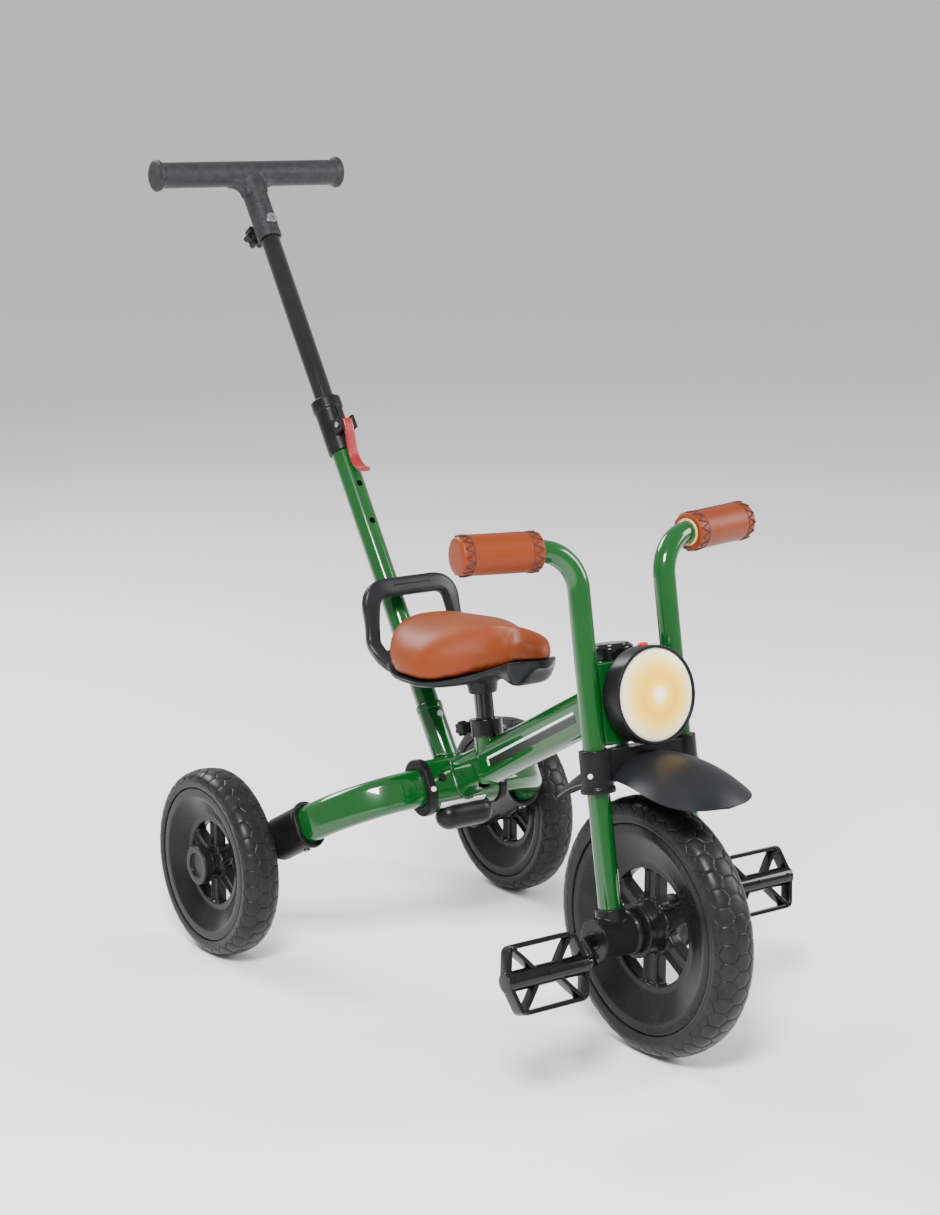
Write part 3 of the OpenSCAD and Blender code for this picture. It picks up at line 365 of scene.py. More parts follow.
def hide_group():
    """Leather: bent cells with creases between them, and slow changes of colour. The creases are painted darker, as
    shade.
    """
    g, i, o = new_group("Hide", [
        ("Scale", "Float", 450.0), ("Strength", "Float", 0.25), ("Color", "Color", (0.36, 0.1, 0.03, 1)),
        ("Shade", "Float", 0.25)], [("Color", "Color"), ("Normal", "Vector"), ("Crease", "Float")])
    own = i.outputs
    at = node(g, "ShaderNodeTexCoord").outputs["Object"]
    warp = node(g, "ShaderNodeTexNoise", [("Vector", at), ("Scale", 180.0), ("Detail", 2.0)])
    bent = node(g, "ShaderNodeVectorMath", [(0, warp.outputs["Color"]), (1, (0.002, 0.002, 0.002)), (2, at)],
        operation="MULTIPLY_ADD")
    cells = node(g, "ShaderNodeTexVoronoi", [("Vector", bent.outputs[0]), ("Scale", own["Scale"])],
        feature="DISTANCE_TO_EDGE")
    crease = node(g, "ShaderNodeMapRange", [("Value", cells.outputs["Distance"]), ("From Max", 0.16)])
    slow = node(g, "ShaderNodeTexNoise", [
        ("Vector", at), ("Scale", 22.0), ("Detail", 5.0), ("Roughness", 0.6)])
    centred = calc(g, "SUBTRACT", slow.outputs["Fac"], 0.5)
    gain = calc(g, "MULTIPLY_ADD", centred, own["Shade"], 0.94)
    # painted shade: the colour falls by 0.06 of itself from the middle of each cell into the creases
    crease_shaded_tone = calc(g, "MULTIPLY_ADD", crease.outputs[0], 0.06, gain)
    bump = node(g, "ShaderNodeBump", [
        ("Strength", own["Strength"]), ("Distance", 0.0003), ("Height", crease.outputs[0])])
    g.links.new(scaled(g, own["Color"], crease_shaded_tone), o.inputs["Color"])
    g.links.new(bump.outputs[0], o.inputs["Normal"])
    g.links.new(crease.outputs[0], o.inputs["Crease"])
    return g


MOTTLE, GRAIN, HIDE = mottle_group(), grain_group(), hide_group()


def srgb(r, g, b):
    """Screen colour, 0 to 255, as a linear one."""
    c = np.array([r, g, b]) / 255
    lin = np.where(c <= 0.04045, c / 12.92, ((c + 0.055) / 1.055) ** 2.4)
    return (*lin.tolist(), 1.0)


def finish(name, color, rough, variation=0.12, scale=40, rough_var=0.1, dust=0.0, grain=None, constants=None):
    """Principled material: mottled colour and roughness, and a moulded grain as (scale, strength)."""
    mat = bpy.data.materials.new(name)
    mat.use_nodes = True
    tree = mat.node_tree
    shader = tree.nodes["Principled BSDF"]
    m = node(tree, "ShaderNodeGroup", node_tree=MOTTLE)
    for key, value in (("Color", color), ("Variation", variation), ("Scale", scale), ("Roughness", rough),
                       ("Roughness Variation", rough_var), ("Dust", dust)):
        m.inputs[key].default_value = value
    tree.links.new(m.outputs["Color"], shader.inputs["Base Color"])
    tree.links.new(m.outputs["Roughness"], shader.inputs["Roughness"])
    if grain:
        g = node(tree, "ShaderNodeGroup", node_tree=GRAIN)
        g.inputs["Scale"].default_value, g.inputs["Strength"].default_value = grain
        tree.links.new(g.outputs["Normal"], shader.inputs["Normal"])
    for key, value in (constants or {}).items():
        shader.inputs[key].default_value = value
    return mat


def leather(name, color, scale, strength):
    """Principled material on the hide pattern, with worn and shiny patches."""
    mat = bpy.data.materials.new(name)
    mat.use_nodes = True
    tree = mat.node_tree
    shader = tree.nodes["Principled BSDF"]
    h = node(tree, "ShaderNodeGroup", node_tree=HIDE)
    for key, value in (("Color", color), ("Scale", scale), ("Strength", strength)):
        h.inputs[key].default_value = value
    m = node(tree, "ShaderNodeGroup", [("Color", h.outputs["Color"])], node_tree=MOTTLE)
    for key, value in (("Variation", 0.1), ("Scale", 9.0), ("Roughness", 0.46), ("Roughness Variation", 0.16)):
        m.inputs[key].default_value = value
    tree.links.new(m.outputs["Color"], shader.inputs["Base Color"])
    tree.links.new(m.outputs["Roughness"], shader.inputs["Roughness"])
    tree.links.new(h.outputs["Normal"], shader.inputs["Normal"])
    shader.inputs["Specular IOR Level"].default_value = 0.3
    return mat


GLOSS = {"Coat Weight": 0.9, "Coat Roughness": 0.03, "Specular IOR Level": 0.12}
MATT = {"Specular IOR Level": 0.16}
green_paint = finish("green_paint", srgb(0, 70, 20), 0.2, 0.1, 30, 0.06, 0.02, (260, 0.015), GLOSS)
black_paint = finish("black_paint", srgb(9, 9, 10), 0.14, 0.1, 30, 0.05, 0.03, None, GLOSS)
black_plastic = finish("black_plastic", srgb(14, 14, 16), 0.32, 0.2, 60, 0.14, 0.04, (1400, 0.08), MATT)
rim_plastic = finish("rim_plastic", srgb(15, 15, 16), 0.27, 0.2, 45, 0.14, 0.04, (700, 0.05), MATT)
gloss_plastic = finish("gloss_plastic", srgb(8, 8, 9), 0.12, 0.15, 45, 0.08, 0.02, None,
    {"Specular IOR Level": 0.3})
grey_plastic = finish("grey_plastic", srgb(22, 23, 26), 0.3, 0.2, 60, 0.12, 0.05, (1500, 0.12), MATT)
handle_plastic = finish("handle_plastic", srgb(28, 29, 33), 0.42, 0.45, 160, 0.16, 0.12, (620, 1.0), MATT)
fender_plastic = finish("fender_plastic", srgb(20, 21, 26), 0.38, 0.14, 25, 0.1, 0.06, (1600, 0.1), MATT)
tyre_foam = finish("tyre_foam", srgb(17, 17, 18), 0.34, 0.4, 70, 0.22, 0.07, (1300, 0.2), MATT)
lever_plastic = finish("lever_plastic", srgb(134, 14, 18), 0.26, 0.18, 60, 0.1, 0.04, (900, 0.05))
button_plastic = finish("button_plastic", srgb(196, 12, 16), 0.26, 0.1, 60, 0.08, 0.03)
zinc = finish("zinc", srgb(168, 176, 182), 0.3, 0.2, 120, 0.15, 0.05, (1200, 0.1), {"Metallic": 1.0})
white_paint = finish("white_paint", srgb(235, 235, 232), 0.35, 0.08, 80, 0.08, 0.06)
decal_white = finish("decal_white", srgb(232, 238, 236), 0.22, 0.05, 60, 0.05, 0.03)
decal_black = finish("decal_black", srgb(14, 13, 13), 0.24, 0.12, 60, 0.05, 0.03)
label_film = finish("label_film", srgb(226, 228, 226), 0.3, 0.06, 60, 0.08, 0.06)
weld_bead = finish("weld_bead", srgb(1, 66, 20), 0.3, 0.25, 120, 0.1, 0.05, (500, 0.3), GLOSS)
thread = finish("thread", srgb(66, 8, 8), 0.7, 0.3, 300, 0.1, 0.1, (3000, 0.5))
foam_edge = finish("foam_edge", srgb(206, 184, 140), 0.7, 0.15, 120, 0.1, 0.1, (1200, 0.4))
board_green = finish("board_green", srgb(20, 90, 44), 0.4, 0.3, 200, 0.1, 0.05)
cell_wrap = finish("cell_wrap", srgb(60, 84, 132), 0.3, 0.1, 90, 0.1, 0.03)
reflector_white = finish("reflector_white", srgb(238, 236, 228), 0.25, 0.05, 60, 0.05, 0.02)
saddle_leather = leather("saddle_leather", srgb(122, 50, 6), 520.0, 0.16)
grip_leather = leather("grip_leather", srgb(118, 46, 6), 480.0, 0.2)


def lens_material():
    """Lit lens: white at its middle, warm yellow half way out and pale at the rim, by the glow attribute."""
    mat = bpy.data.materials.new("lit_lens")
    mat.use_nodes = True
    tree = mat.node_tree
    shader = tree.nodes["Principled BSDF"]
    glow = node(tree, "ShaderNodeAttribute", attribute_name="glow")
    ramp = node(tree, "ShaderNodeValToRGB", [("Fac", glow.outputs["Fac"])])
    stops = ramp.color_ramp.elements
    stops[0].position, stops[0].color = 0.0, (1, 1, 1, 1)
    stops[1].position, stops[1].color = 1.0, srgb(222, 212, 188)
    rings = ((0.08, (255, 250, 200)), (0.24, (252, 206, 60)), (0.44, (244, 184, 24)),
        (0.68, (246, 200, 70)), (0.88, (238, 218, 150)))
    for at, color in rings:
        stop = stops.new(at)
        stop.color = srgb(*color)
    tree.links.new(ramp.outputs["Color"], shader.inputs["Base Color"])
    tree.links.new(ramp.outputs["Color"], shader.inputs["Emission Color"])
    shader.inputs["Emission Strength"].default_value = 0.42
    shader.inputs["Roughness"].default_value = 0.3
    return mat


lit_lens = lens_material()


def carried(material, *names):
    """A CAD part whose shape is right keeps it and takes a material."""
    for name in names:
        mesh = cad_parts[name].data
        mesh.materials.clear()
        mesh.materials.append(material)


# ---- camera, light and floor ----

def aimed(obj, spot, aim):
    """Puts a camera or lamp at spot, in metres, looking at aim."""
    obj.location = aim
    target = obj.location.copy()
    obj.location = spot
    obj.rotation_mode = "QUATERNION"
    obj.rotation_quaternion = (obj.location - target).to_track_quat("Z", "Y")
    bpy.context.scene.collection.objects.link(obj)


def stand_camera():
    data = bpy.data.cameras.new("camera")
    data.lens = 74.2
    data.sensor_width = 36
    cam = bpy.data.objects.new("camera", data)
    aimed(cam, (-1.4772, -1.7584 - MID_Y * MM, 0.9038), (0, 0.3049 - MID_Y * MM, 0.3875))
    bpy.context.scene.camera = cam


def lamp(name, spot, aim, size, power):
    data = bpy.data.lights.new(name, "AREA")
    data.shape = "RECTANGLE"
    data.size, data.size_y = size
    data.energy = power
    aimed(bpy.data.objects.new(name, data), spot, aim)


def studio():
    floor = bpy.data.meshes.new("floor")
    floor.from_pydata([(-9, -9, 0), (9, -9, 0), (9, 9, 0), (-9, 9, 0)], [], [(0, 1, 2, 3)])
    floor.materials.append(finish("floor_paint", srgb(252, 252, 252), 0.6, 0.01, 2, 0.02))
    obj = bpy.data.objects.new("floor", floor)
    bpy.context.scene.collection.objects.link(obj)
    world = bpy.data.worlds.new("room")
    world.use_nodes = True
    world.node_tree.nodes["Background"].inputs["Color"].default_value = (1, 1, 1, 1)
    world.node_tree.nodes["Background"].inputs["Strength"].default_value = 0.68
    bpy.context.scene.world = world
    lamp("key", (-1.5, -1.7, 2.3), (0, 0, 0.35), (0.7, 0.7), 150)
    lamp("fill", (2.2, -1.4, 1.5), (0, 0, 0.4), (1.0, 1.4), 66)
    lamp("back", (-0.6, 2.3, 2.2), (0, 0, 0.4), (1.4, 0.9), 90)


stand_camera()
studio()


# ---- wheels ----

def honeycomb(u, v, pitch, rows):
    """How far a point is from the joint of two hexagon cells: the gap between its two nearest centres."""
    step = pitch * 0.8660254
    best = np.full((2,) + np.broadcast(u, v).shape, 1e9)
    for k in range(-rows, rows + 1):
        along = (u / pitch - 0.5 * (k % 2)) % 1.0
        for shift in (0.0, 1.0):
            d = np.hypot((along - shift) * pitch, v - k * step)
            best = np.stack([np.minimum(best[0], d), np.minimum(np.maximum(best[0], d), best[1])])
    return best[1] - best[0]


def step(x):
    c = np.clip(x, 0, 1)
    return c * c * (3 - 2 * c)


def tyre(place, r, w, seat, bead, half, cells, around, across):
    """Foam tyre: crown |sin|^k across and |cos|^k out, less hexagon grooves that fade at the sidewall.

    It is seated at radius seat with a bead down to radius bead, half wide on each side. The tread has cells round it.
    """
    t = np.linspace(-np.pi / 2, np.pi / 2, across)
    rise = r - seat - 2.5
    x = (w / 2 - 0.15) * np.sign(np.sin(t)) * np.abs(np.sin(t)) ** 0.86
    out = seat + 2.5 + rise * np.abs(np.cos(t)) ** 0.66
    x = np.concatenate([[-half, -half, -(w / 2 - 1.2)], x, [w / 2 - 1.2, half, half]])
    out = np.concatenate([[bead + 0.4, seat + 0.3, seat + 0.3], out, [seat + 0.3, seat + 0.3, bead + 0.4]])
    length = np.concatenate([[0], np.cumsum(np.hypot(np.diff(x), np.diff(out)))])
    v = (length - length[len(length) // 2])[:, None]
    angle = np.linspace(0, 2 * np.pi, around, endpoint=False)[None]
    pitch = 2 * np.pi * r / cells
    edge = honeycomb(angle * r + 0 * v, v + 0 * angle, pitch, 4)
    reach = step((out[:, None] - (seat + 0.30 * rise)) / (0.12 * rise))
    cut = (1 - step((edge - 0.3) / 1.2)) * reach
    lump = 0.3 * step(edge / pitch * 1.6) * reach
    line = np.exp(-((out[:, None] - (seat + 0.24 * rise)) / 0.8) ** 2) * (np.abs(x[:, None]) > w * 0.4)
    radius = out[:, None] - 0.3 * reach - 0.85 * cut + lump
    sunk = x[:, None] - np.sign(x[:, None]) * (0.4 * cut + 0.8 * line)
    grid = np.stack([sunk + 0 * angle, radius * np.cos(angle), radius * np.sin(angle)], -1)
    return shell(place(grid), loop_u=True, loop_v=True)


def spin(points, turn):
    """Points turned about the X axis."""
    c, s = math.cos(turn), math.sin(turn)
    return np.asarray(points, float) @ np.array([[1, 0, 0], [0, c, s], [0, -s, c]])


def rim(place, bead, half, inner, web, hub_r, x0, x1, bore, spokes=6):
    """Trough, ribbed spokes with a channel in each face, and a hub tube from x0 to x1, fused afterwards."""
    lip, wall = bead + 5, 2.6
    trough = rounded([
        (lip, half), (bead - 5, half), (inner + 6, web), (inner, web),
        (inner, -web), (inner + 6, -web), (bead - 5, -half), (lip, -half),
        (lip, wall - half), (bead - 4, 3 - half), (inner + 7, 4 - web),
        (inner + 7, web - 4), (bead - 4, half - 3), (lip, half - wall)], 1.6, closed=True)
    parts = [turned(place, trough, "x", 160, loop=True)]
    wide, tall = hub_r * 0.42, web * 0.98
    groove, floor = wide * 0.58, tall * 0.42
    corner = [(wide, tall * 0.8), (wide * 0.72, tall), (groove, floor)]
    section = rounded(corner + [(-x, y) for x, y in corner[::-1]]
        + [(-x, -y) for x, y in corner] + [(x, -y) for x, y in corner[::-1]], 0.8, 3, closed=True)
    along = np.linspace(hub_r - 3, bead - 7, 40)
    far = (along - along[0]) / (along[-1] - along[0])
    flare = 1 + 0.35 * np.clip(0.16 - far, 0, 1) * 6 + 0.12 * step((far - 0.5) / 0.4)
    lift = 1 + (half / web - 1.22) * np.clip((along - inner) / (bead - inner), 0, 1) ** 1.2
    scale = np.stack([flare, lift], -1)
    for i in range(spokes):
        path = spin(np.stack([0 * along, 0 * along, along], -1), i * 2 * math.pi / spokes)
        parts.append(swept(place, path, section, (1, 0, 0), scale=scale))
    parts.append(ring(place, hub_r, bore, x0, x1, "x", 1.2))
    for a, b in ((x0, x0 + 3), (x1 - 3, x1)):
        parts.append(ring(place, hub_r + 2, bore, a, b, "x", 1.2))
    return parts


front_tread = tyre(FRONT_AXLE, FRONT_R, FRONT_W, 103.05, 98, 17.6, 44, 1000, 90)
piece("front_tyre", [front_tread], tyre_foam, "front_wheel", ["tyre_front"], 60)
front_wheel = rim(FRONT_AXLE, 98, 20.5, 57.15, 8, 25, -27.3, 27.3, ROD_R + 0.05)
fused("front_rim", front_wheel, 1.5, 2, rim_plastic, "front_wheel", ["rim_front"])
cap_outline = rounded([
    (0, 24), (11.5, 24), (13, 24.6), (13.4, 27), (20.2, 27), (21, 26), (21, 17.2), (0, 17.2)], 0.8)
for side, word in ((1, "left"), (-1, "right")):
    body = "rear_wheel_" + word
    at = rear_axle(side)
    rear_tread = tyre(at, REAR_R, REAR_W, 83.05, 78, 16.7, 36, 820, 84)
    piece("rear_tyre_" + word, [rear_tread], tyre_foam, body, ["tyre_rear_" + word], 60)
    rear_wheel = rim(at, 78, 19.5, 44.44, 7, 17, -28, 17, 9)
    fused("rear_rim_" + word, rear_wheel, 1.4, 2, rim_plastic, body, ["rim_rear_" + word])
    sleeves = [ring(at, 8.9, 5.06, -28, -14, "x"), ring(at, 8.9, 5.06, 3, 16.9, "x")]
    piece("rear_cap_" + word, [turned(at, cap_outline, "x", 96), *sleeves], black_plastic, body,
        ["hub_rear_" + word])


# ---- steel frame ----

def both(part):
    return [part, mirrored(part)]


def weld(place, path, r=1.5):
    """Bead along a joint: a thin closed bar whose thickness ripples."""
    path = np.asarray(path, float)
    n = len(path)
    ripple = 1 + 0.16 * np.sin(np.arange(n) * 2 * np.pi * (n // 5) / n)
    return swept(place, path, circle(r, 10), (0.31, 0.17, 0.94), loop=True, scale=ripple)


def barred(path):
    """Path in the handlebar's own plane (x outwards, height from the bend), swung back by the sweep."""
    swing = math.radians(SWEEP)
    x, h = np.asarray(path, float).T
    return np.stack([LEG_X + x * math.cos(swing), x * math.sin(swing), BEND_U + h], -1)


def handlebar_path():
    """Straight fork tube, the bend, then the bar out to the grip's end."""
    tube_foot, grip_end = 12, 86
    bend = arc((0, 0), 90, BEND_R, -BEND_TURN, 28)
    out = math.radians(90 - BEND_TURN)
    tube = np.stack([np.zeros(20), np.linspace(tube_foot + 1 - BEND_U, -2, 20)], -1)
    grip = bend[-1] + np.array([math.cos(out), math.sin(out)]) * np.linspace(4, grip_end, 8)[:, None]
    return np.vstack([[[0, tube_foot - BEND_U]], tube, bend, grip])


bar_up = (-math.sin(math.radians(SWEEP)), math.cos(math.radians(SWEEP)), 0)
fork_bar = swept(FORK, barred(handlebar_path()), circle(BAR_R, 48), bar_up)
piece("fork_bars", both(fork_bar), green_paint, "steering", ["fork_tubes"])


def rear_leg_path():
    """Straight root in the cross tube, an arc backwards, then a short straight foot."""
    turn, bend_r, foot = 81.4, 94.92, 33.8
    root = np.array([[22.0, 0], [34, 0], [44, 0]])
    bend = arc((45, 0), 0, bend_r, turn, 40)
    ahead = np.array([math.cos(math.radians(turn)), math.sin(math.radians(turn))])
    line = np.vstack([root, bend, bend[-1] + ahead * np.linspace(4, foot, 5)[:, None]])
    return np.column_stack([line, np.zeros(len(line))])


leg_bar = swept(LEGS, rear_leg_path(), oval(25, 40, 72))
piece("rear_leg_bars", both(leg_bar), green_paint, "frame", ["rear_legs"])

carried(green_paint, "main_beam", "cross_tube", "head_tube", "seat_tube")


def seat_tube_seam():
    """Where a round tube of radius 14 meets the beam's round top, which falls away under the leaning post."""
    t = np.linspace(0, 2 * np.pi, 90, endpoint=False)
    x, p = 14 * np.cos(t), 14 * np.sin(t)
    return np.stack([x, p, (8 + np.sqrt(np.maximum(14 ** 2 - x ** 2, 0)) - 0.3287 * p) / 0.9444], -1)


def socket_seam():
    """Where the push bar's socket meets the cross tube: q = 9.3 + sqrt(19^2 - (p + 4)^2)."""
    t = np.linspace(0, 2 * np.pi, 90, endpoint=False)
    x, p = 14.6 * np.cos(t), 14.6 * np.sin(t)
    return np.stack([x, p, 9.3 + np.sqrt(np.maximum(19 ** 2 - (p + 4) ** 2, 4))], -1)


def beam_seam():
    """Where the beam's oval end meets the cross tube, 19 mm in radius round centres 9 mm up and down."""
    outline = oval(29, 45, 110)
    depth = np.sqrt(19 ** 2 - np.clip(np.abs(outline[:, 1]) - 9, 0, 18.9) ** 2)
    return np.stack([outline[:, 0], -depth - 0.6, outline[:, 1]], -1)


seams = [weld(SEAT, seat_tube_seam()), weld(POLE, socket_seam()), weld(LEGS, beam_seam(), 1.7)]
piece("weld_beads", seams, weld_bead, "frame")

carried(decal_black, "stripe_decals")
carried(decal_white, "line_decals")
carried(label_film, "blank_label")
softened("leg_sleeves", "leg_collars", 0.9, 4, black_plastic, "frame")
softened("axle_sleeves", "axle_holders", 1.3, 4, black_plastic, "frame")
softened("underside_cover", "under_cover", 1.0, 6, black_plastic, "frame")
carried(black_plastic, "leg_button_left", "leg_button_right")
carried(white_paint, "collar_screws", "crown_screws")
carried(zinc, "holder_screws", "rear_axles", "head_bearings", "steering_bolt", "handle_bolt", "snap_button")

# ---- fork, crown and fenders ----

softened("head_plate", "fork_bridge", 1.0, 2, green_paint, "steering", sharp=50)
softened("crown_sleeves", "crown", 0.9, 4, black_plastic, "steering")
softened("fork_feet", "fork_ends", 1.0, 2, black_plastic, "steering")
carried(black_plastic, "front_bushes")
stem_outline = rounded([
    (0, 273), (17.5, 273), (19, 272.4), (19.4, 271), (20.5, 271), (22.5, 269), (22.5, 258.1), (0, 258.1)], 0.9)
stem_lid = turned(moved(FORK, (0, HEAD_BACK, 0)), stem_outline)
piece("stem_cover", [stem_lid], gloss_plastic, "steering", ["stem_cap"])


def blade(ridge, half, drop, thick, s):
    """Crowned blade with a rolled rim: its ridge at y(s), z(s), falling by drop * w^2 to the edges w = -1, 1."""
    y, z = (v[:, None] for v in ridge(s))
    w = np.linspace(-1, 1, 49)
    h, d = half(s)[:, None], drop(s)[:, None]
    top = np.stack([h * w, y + 0 * h * w, z - d * w ** 2], -1)
    back = w[::-1]
    wall = thick * (1 - 0.25 * back ** 8)
    low = np.stack([(h - thick * 0.6) * back, y + 0 * h * back, z - wall - (d - thick * 0.3) * back ** 2], -1)
    return shell(BUILD(np.concatenate([top, low], 1)), loop_u=False, loop_v=True)


def front_half(s):
    return (41 + 22 * s) * np.sqrt(np.maximum(1 - s ** 4.5, 0)) + 1.7


def front_ridge(s):
    return 24 - 126 * s, 295 + 35 * s - 46 * s * s - 15 * s ** 6


def front_drop(s):
    return 0.5 * front_half(s) ** 2 / (43 + 22 * s)


def tail_half(s):
    return 32.8 * (1 - s) ** 0.62 + 1.3


def tail_ridge(s):
    return 36 + 116.6 * s, 286 - 18 * s - 46 * s * s


def tail_drop(s):
    return 0.75 * tail_half(s)


front_guard = blade(front_ridge, front_half, front_drop, 2.4, 1 - np.linspace(0, 1, 110) ** 2.2)
piece("front_mudguard", [front_guard], fender_plastic, "steering", ["front_fender"], 50)
tail_guard = blade(tail_ridge, tail_half, tail_drop, 2.3, np.linspace(0, 0.995, 60))
piece("rear_mudguard", [tail_guard], fender_plastic, "steering", ["rear_fender"], 50)

# ---- headlight ----

LAMP = moved(FORK, (0, -5.55, 224))


def lamp_axis(points):
    """Frame whose q axis points forward, out of the headlight."""
    p = np.asarray(points, float)
    return LAMP(np.stack([p[..., 0], -p[..., 2], p[..., 1]], -1))


drum_outline = rounded([
    (LAMP_R - 3, 9), (37, 3.2), (0.5, 3.2), (0.5, 0), (38, 0),
    (42.8, 2.2), (LAMP_R, 9), (LAMP_R, 31), (LAMP_R - 3, 31)],
    [1, 1, 0.2, 0.2, 2, 3, 5, 0.9, 0.9], closed=True)
drum = turned(lamp_axis, drum_outline, steps=128, loop=True)
piece("lamp_drum", [drum], black_plastic, "steering", ["lamp_housing"], 50)


def lens_outline():
    """Dome that falls as r^2.6 from its middle, with a thin rolled rim."""
    top, drop, foot = 35.4, 4.9, 28.9
    r = np.linspace(0.5, LENS_R, 60)
    dome = np.column_stack([r, top - drop * (r / LENS_R) ** 2.6])
    edge = rounded([(LENS_R, top - drop), (42.6, 29.3), (43.6, 29.2), (43.6, foot)], 0.3)
    return np.vstack([[[0, top]], dome, edge, [[0, foot]]])


def from_lamp_axis(co):
    """How far points lie from the headlight's axis, as a share of the lens radius."""
    lean = math.radians(RAKE)
    forward = np.array([0, -math.cos(lean), math.sin(lean)])
    off = co - lamp_axis([0.0, 0.0, 30.0])
    off -= (off @ forward)[:, None] * forward
    return np.clip(np.linalg.norm(off, axis=1) / (LENS_R * MM), 0, 1)


lens_skin = turned(lamp_axis, lens_outline(), steps=128)
lens = piece("lens", [lens_skin], lit_lens, "steering", ["lamp_lens"], 50)
lens_points = np.empty(len(lens.data.vertices) * 3)
lens.data.vertices.foreach_get("co", lens_points)
glow = lens.data.attributes.new("glow", "FLOAT", "POINT")
glow.data.foreach_set("value", from_lamp_axis(lens_points.reshape(-1, 3)).astype(np.float32))
carried(reflector_white, "lamp_reflector")
carried(board_green, "lamp_board")
carried(cell_wrap, "lamp_batteries")
button_outline = rounded([(0, 44.2), (5, 44.2), (5, 48.6), (3.6, 49.6), (0, 49.7)], 0.8)
button = turned(moved(LAMP, (0, -17, 0)), button_outline, steps=48)
piece("light_button", [button], button_plastic, "lamp_button", ["lamp_button"])

# ---- grips ----

def grip_frame(points):
    """Frame whose q axis runs out along the left grip from where its leather starts."""
    p = np.asarray(points, float)
    turn, swing = math.radians(BEND_TURN), math.radians(SWEEP)
    x = p[..., 0] * math.cos(turn) + p[..., 2] * math.sin(turn) + BEND_R * (1 - math.cos(turn))
    z = -p[..., 0] * math.sin(turn) + p[..., 2] * math.cos(turn) + BEND_R * math.sin(turn)
    y = p[..., 1]
    return FORK(np.stack([
        LEG_X + x * math.cos(swing) - y * math.sin(swing),
        x * math.sin(swing) + y * math.cos(swing),
        BEND_U + z], -1))


def crossing(r, low, high, count, phase, lift):
    """Thread round the grip that swings between two heights: r(t), h(t) by a triangle wave."""
    t = np.linspace(0, 2 * np.pi, count * 8, endpoint=False)
    wave = np.abs(((t * count / (2 * np.pi) + phase) % 1.0) * 2 - 1)
    radius = r + lift * np.sin(np.pi * wave)
    return np.stack([radius * np.cos(t), radius * np.sin(t), low + (high - low) * wave], -1)


def evened(outline, count):
    """The outline as points at even steps along its length."""
    length = np.concatenate([[0], np.cumsum(np.linalg.norm(np.diff(outline, axis=0), axis=1))])
    at = np.linspace(0, length[-1], count)
    return np.column_stack([np.interp(at, length, column) for column in outline.T])


def bump_at(x, middle, width):
    return np.exp(-((x - middle) / width) ** 2)


def hand_worn(t, h):
    """Scale of the grip's radius: a dent along the seam, a dip inside each band of stitches, slight waves."""
    seam = bump_at(np.mod(t, 2 * np.pi), np.pi, 0.045)
    inside = step((h - 3) / 3) * step((85 - h) / 3)
    dips = 0.012 * bump_at(h, 14.2, 1.6) + 0.012 * bump_at(h, 73.8, 1.6)
    return 1 - 0.05 * seam * inside + 0.004 * np.sin(3 * t + h / 17) * inside - dips


leather_outline = rounded([
    (0, 86.7), (14, 86.7), (17.9, 85.2), (GRIP_R, 78), (GRIP_R, 8),
    (18.4, 2.4), (16.8, 1.5), (BAR_R + 0.15, 1.5), (BAR_R + 0.15, 4), (0, 4)],
    [0, 2, 2.6, 5, 4, 1.4, 1, 0.3, 0.3, 0])
leather_sleeve = turned(grip_frame, evened(leather_outline, 150), steps=112, shape=hand_worn)
piece("grip_leathers", both(leather_sleeve), grip_leather, "steering", ["grip_covers", "grip_cores"],
    60)


def round_thread(r, height):
    t = np.linspace(0, 2 * np.pi, 120, endpoint=False)
    return np.stack([r * np.cos(t), r * np.sin(t), height + 0 * t], -1)


def seam_thread():
    """Thread along the seam that swings to each side by a steep sine, once in 7.2 mm."""
    h = np.linspace(13, 75, 130)
    wave = np.sin(h * 2 * np.pi / 7.2)
    t = np.pi + 0.11 * np.sign(wave) * np.minimum(1, np.abs(wave) * 2.2)
    return np.stack([18.95 * np.cos(t), 18.95 * np.sin(t), h], -1)


stitches = []
askew = (0.05, 0.03, 1)
for low, high, inner_edge, radius in ((3.5, 13.5, 13.5, 18.95), (74.5, 83.6, 74.5, 18.9)):
    zigzag = crossing(radius, low, high, 13, 0.0, 0.45)
    stitches += both(swept(grip_frame, zigzag, circle(0.7, 8), askew, loop=True))
    stitches += both(swept(grip_frame, round_thread(18.9, inner_edge), circle(0.5, 8), askew, loop=True))
stitches += both(swept(grip_frame, seam_thread(), circle(0.6, 8), (0.9, 0.43, 0.02)))
piece("grip_stitches", stitches, thread, "steering")
foam_ring = ring(grip_frame, 13.4, 11.2, 0.45, 1.9, edge=0.4)
piece("grip_foam_edges", both(foam_ring), foam_edge, "steering")

# ---- cranks and pedals ----

def crank_path():
    """Level middle, two bends of 64 degrees at 14 mm radius with a straight arm between, then the spindle."""
    turn, bend_r = 64, 14
    a = math.radians(turn)
    arm = (CRANK_L - 2 * bend_r * (1 - math.cos(a))) / math.sin(a)
    first = arc((79.3, 0), 0, bend_r, -turn, 16)
    elbow = first[-1] + arm * np.array([math.cos(a), -math.sin(a)])
    second = arc(elbow, -turn, bend_r, turn, 16)
    middle = [[x, 0] for x in (1, 30, 60, 78)]
    spindle = [[x, -CRANK_L] for x in (125, 160, 203, PEDAL_X + PEDAL_L - 7)]
    half = np.vstack([middle, first, (first[-1] + elbow) / 2, second, spindle])
    line = np.vstack([-half[::-1], half])
    return np.column_stack([line[:, 0], -line[:, 1], np.zeros(len(line))])


crank = swept(FRONT_AXLE, crank_path(), circle(ROD_R, 32))
piece("crank_bar", [crank], gloss_plastic, "front_wheel", ["crank_rod"])


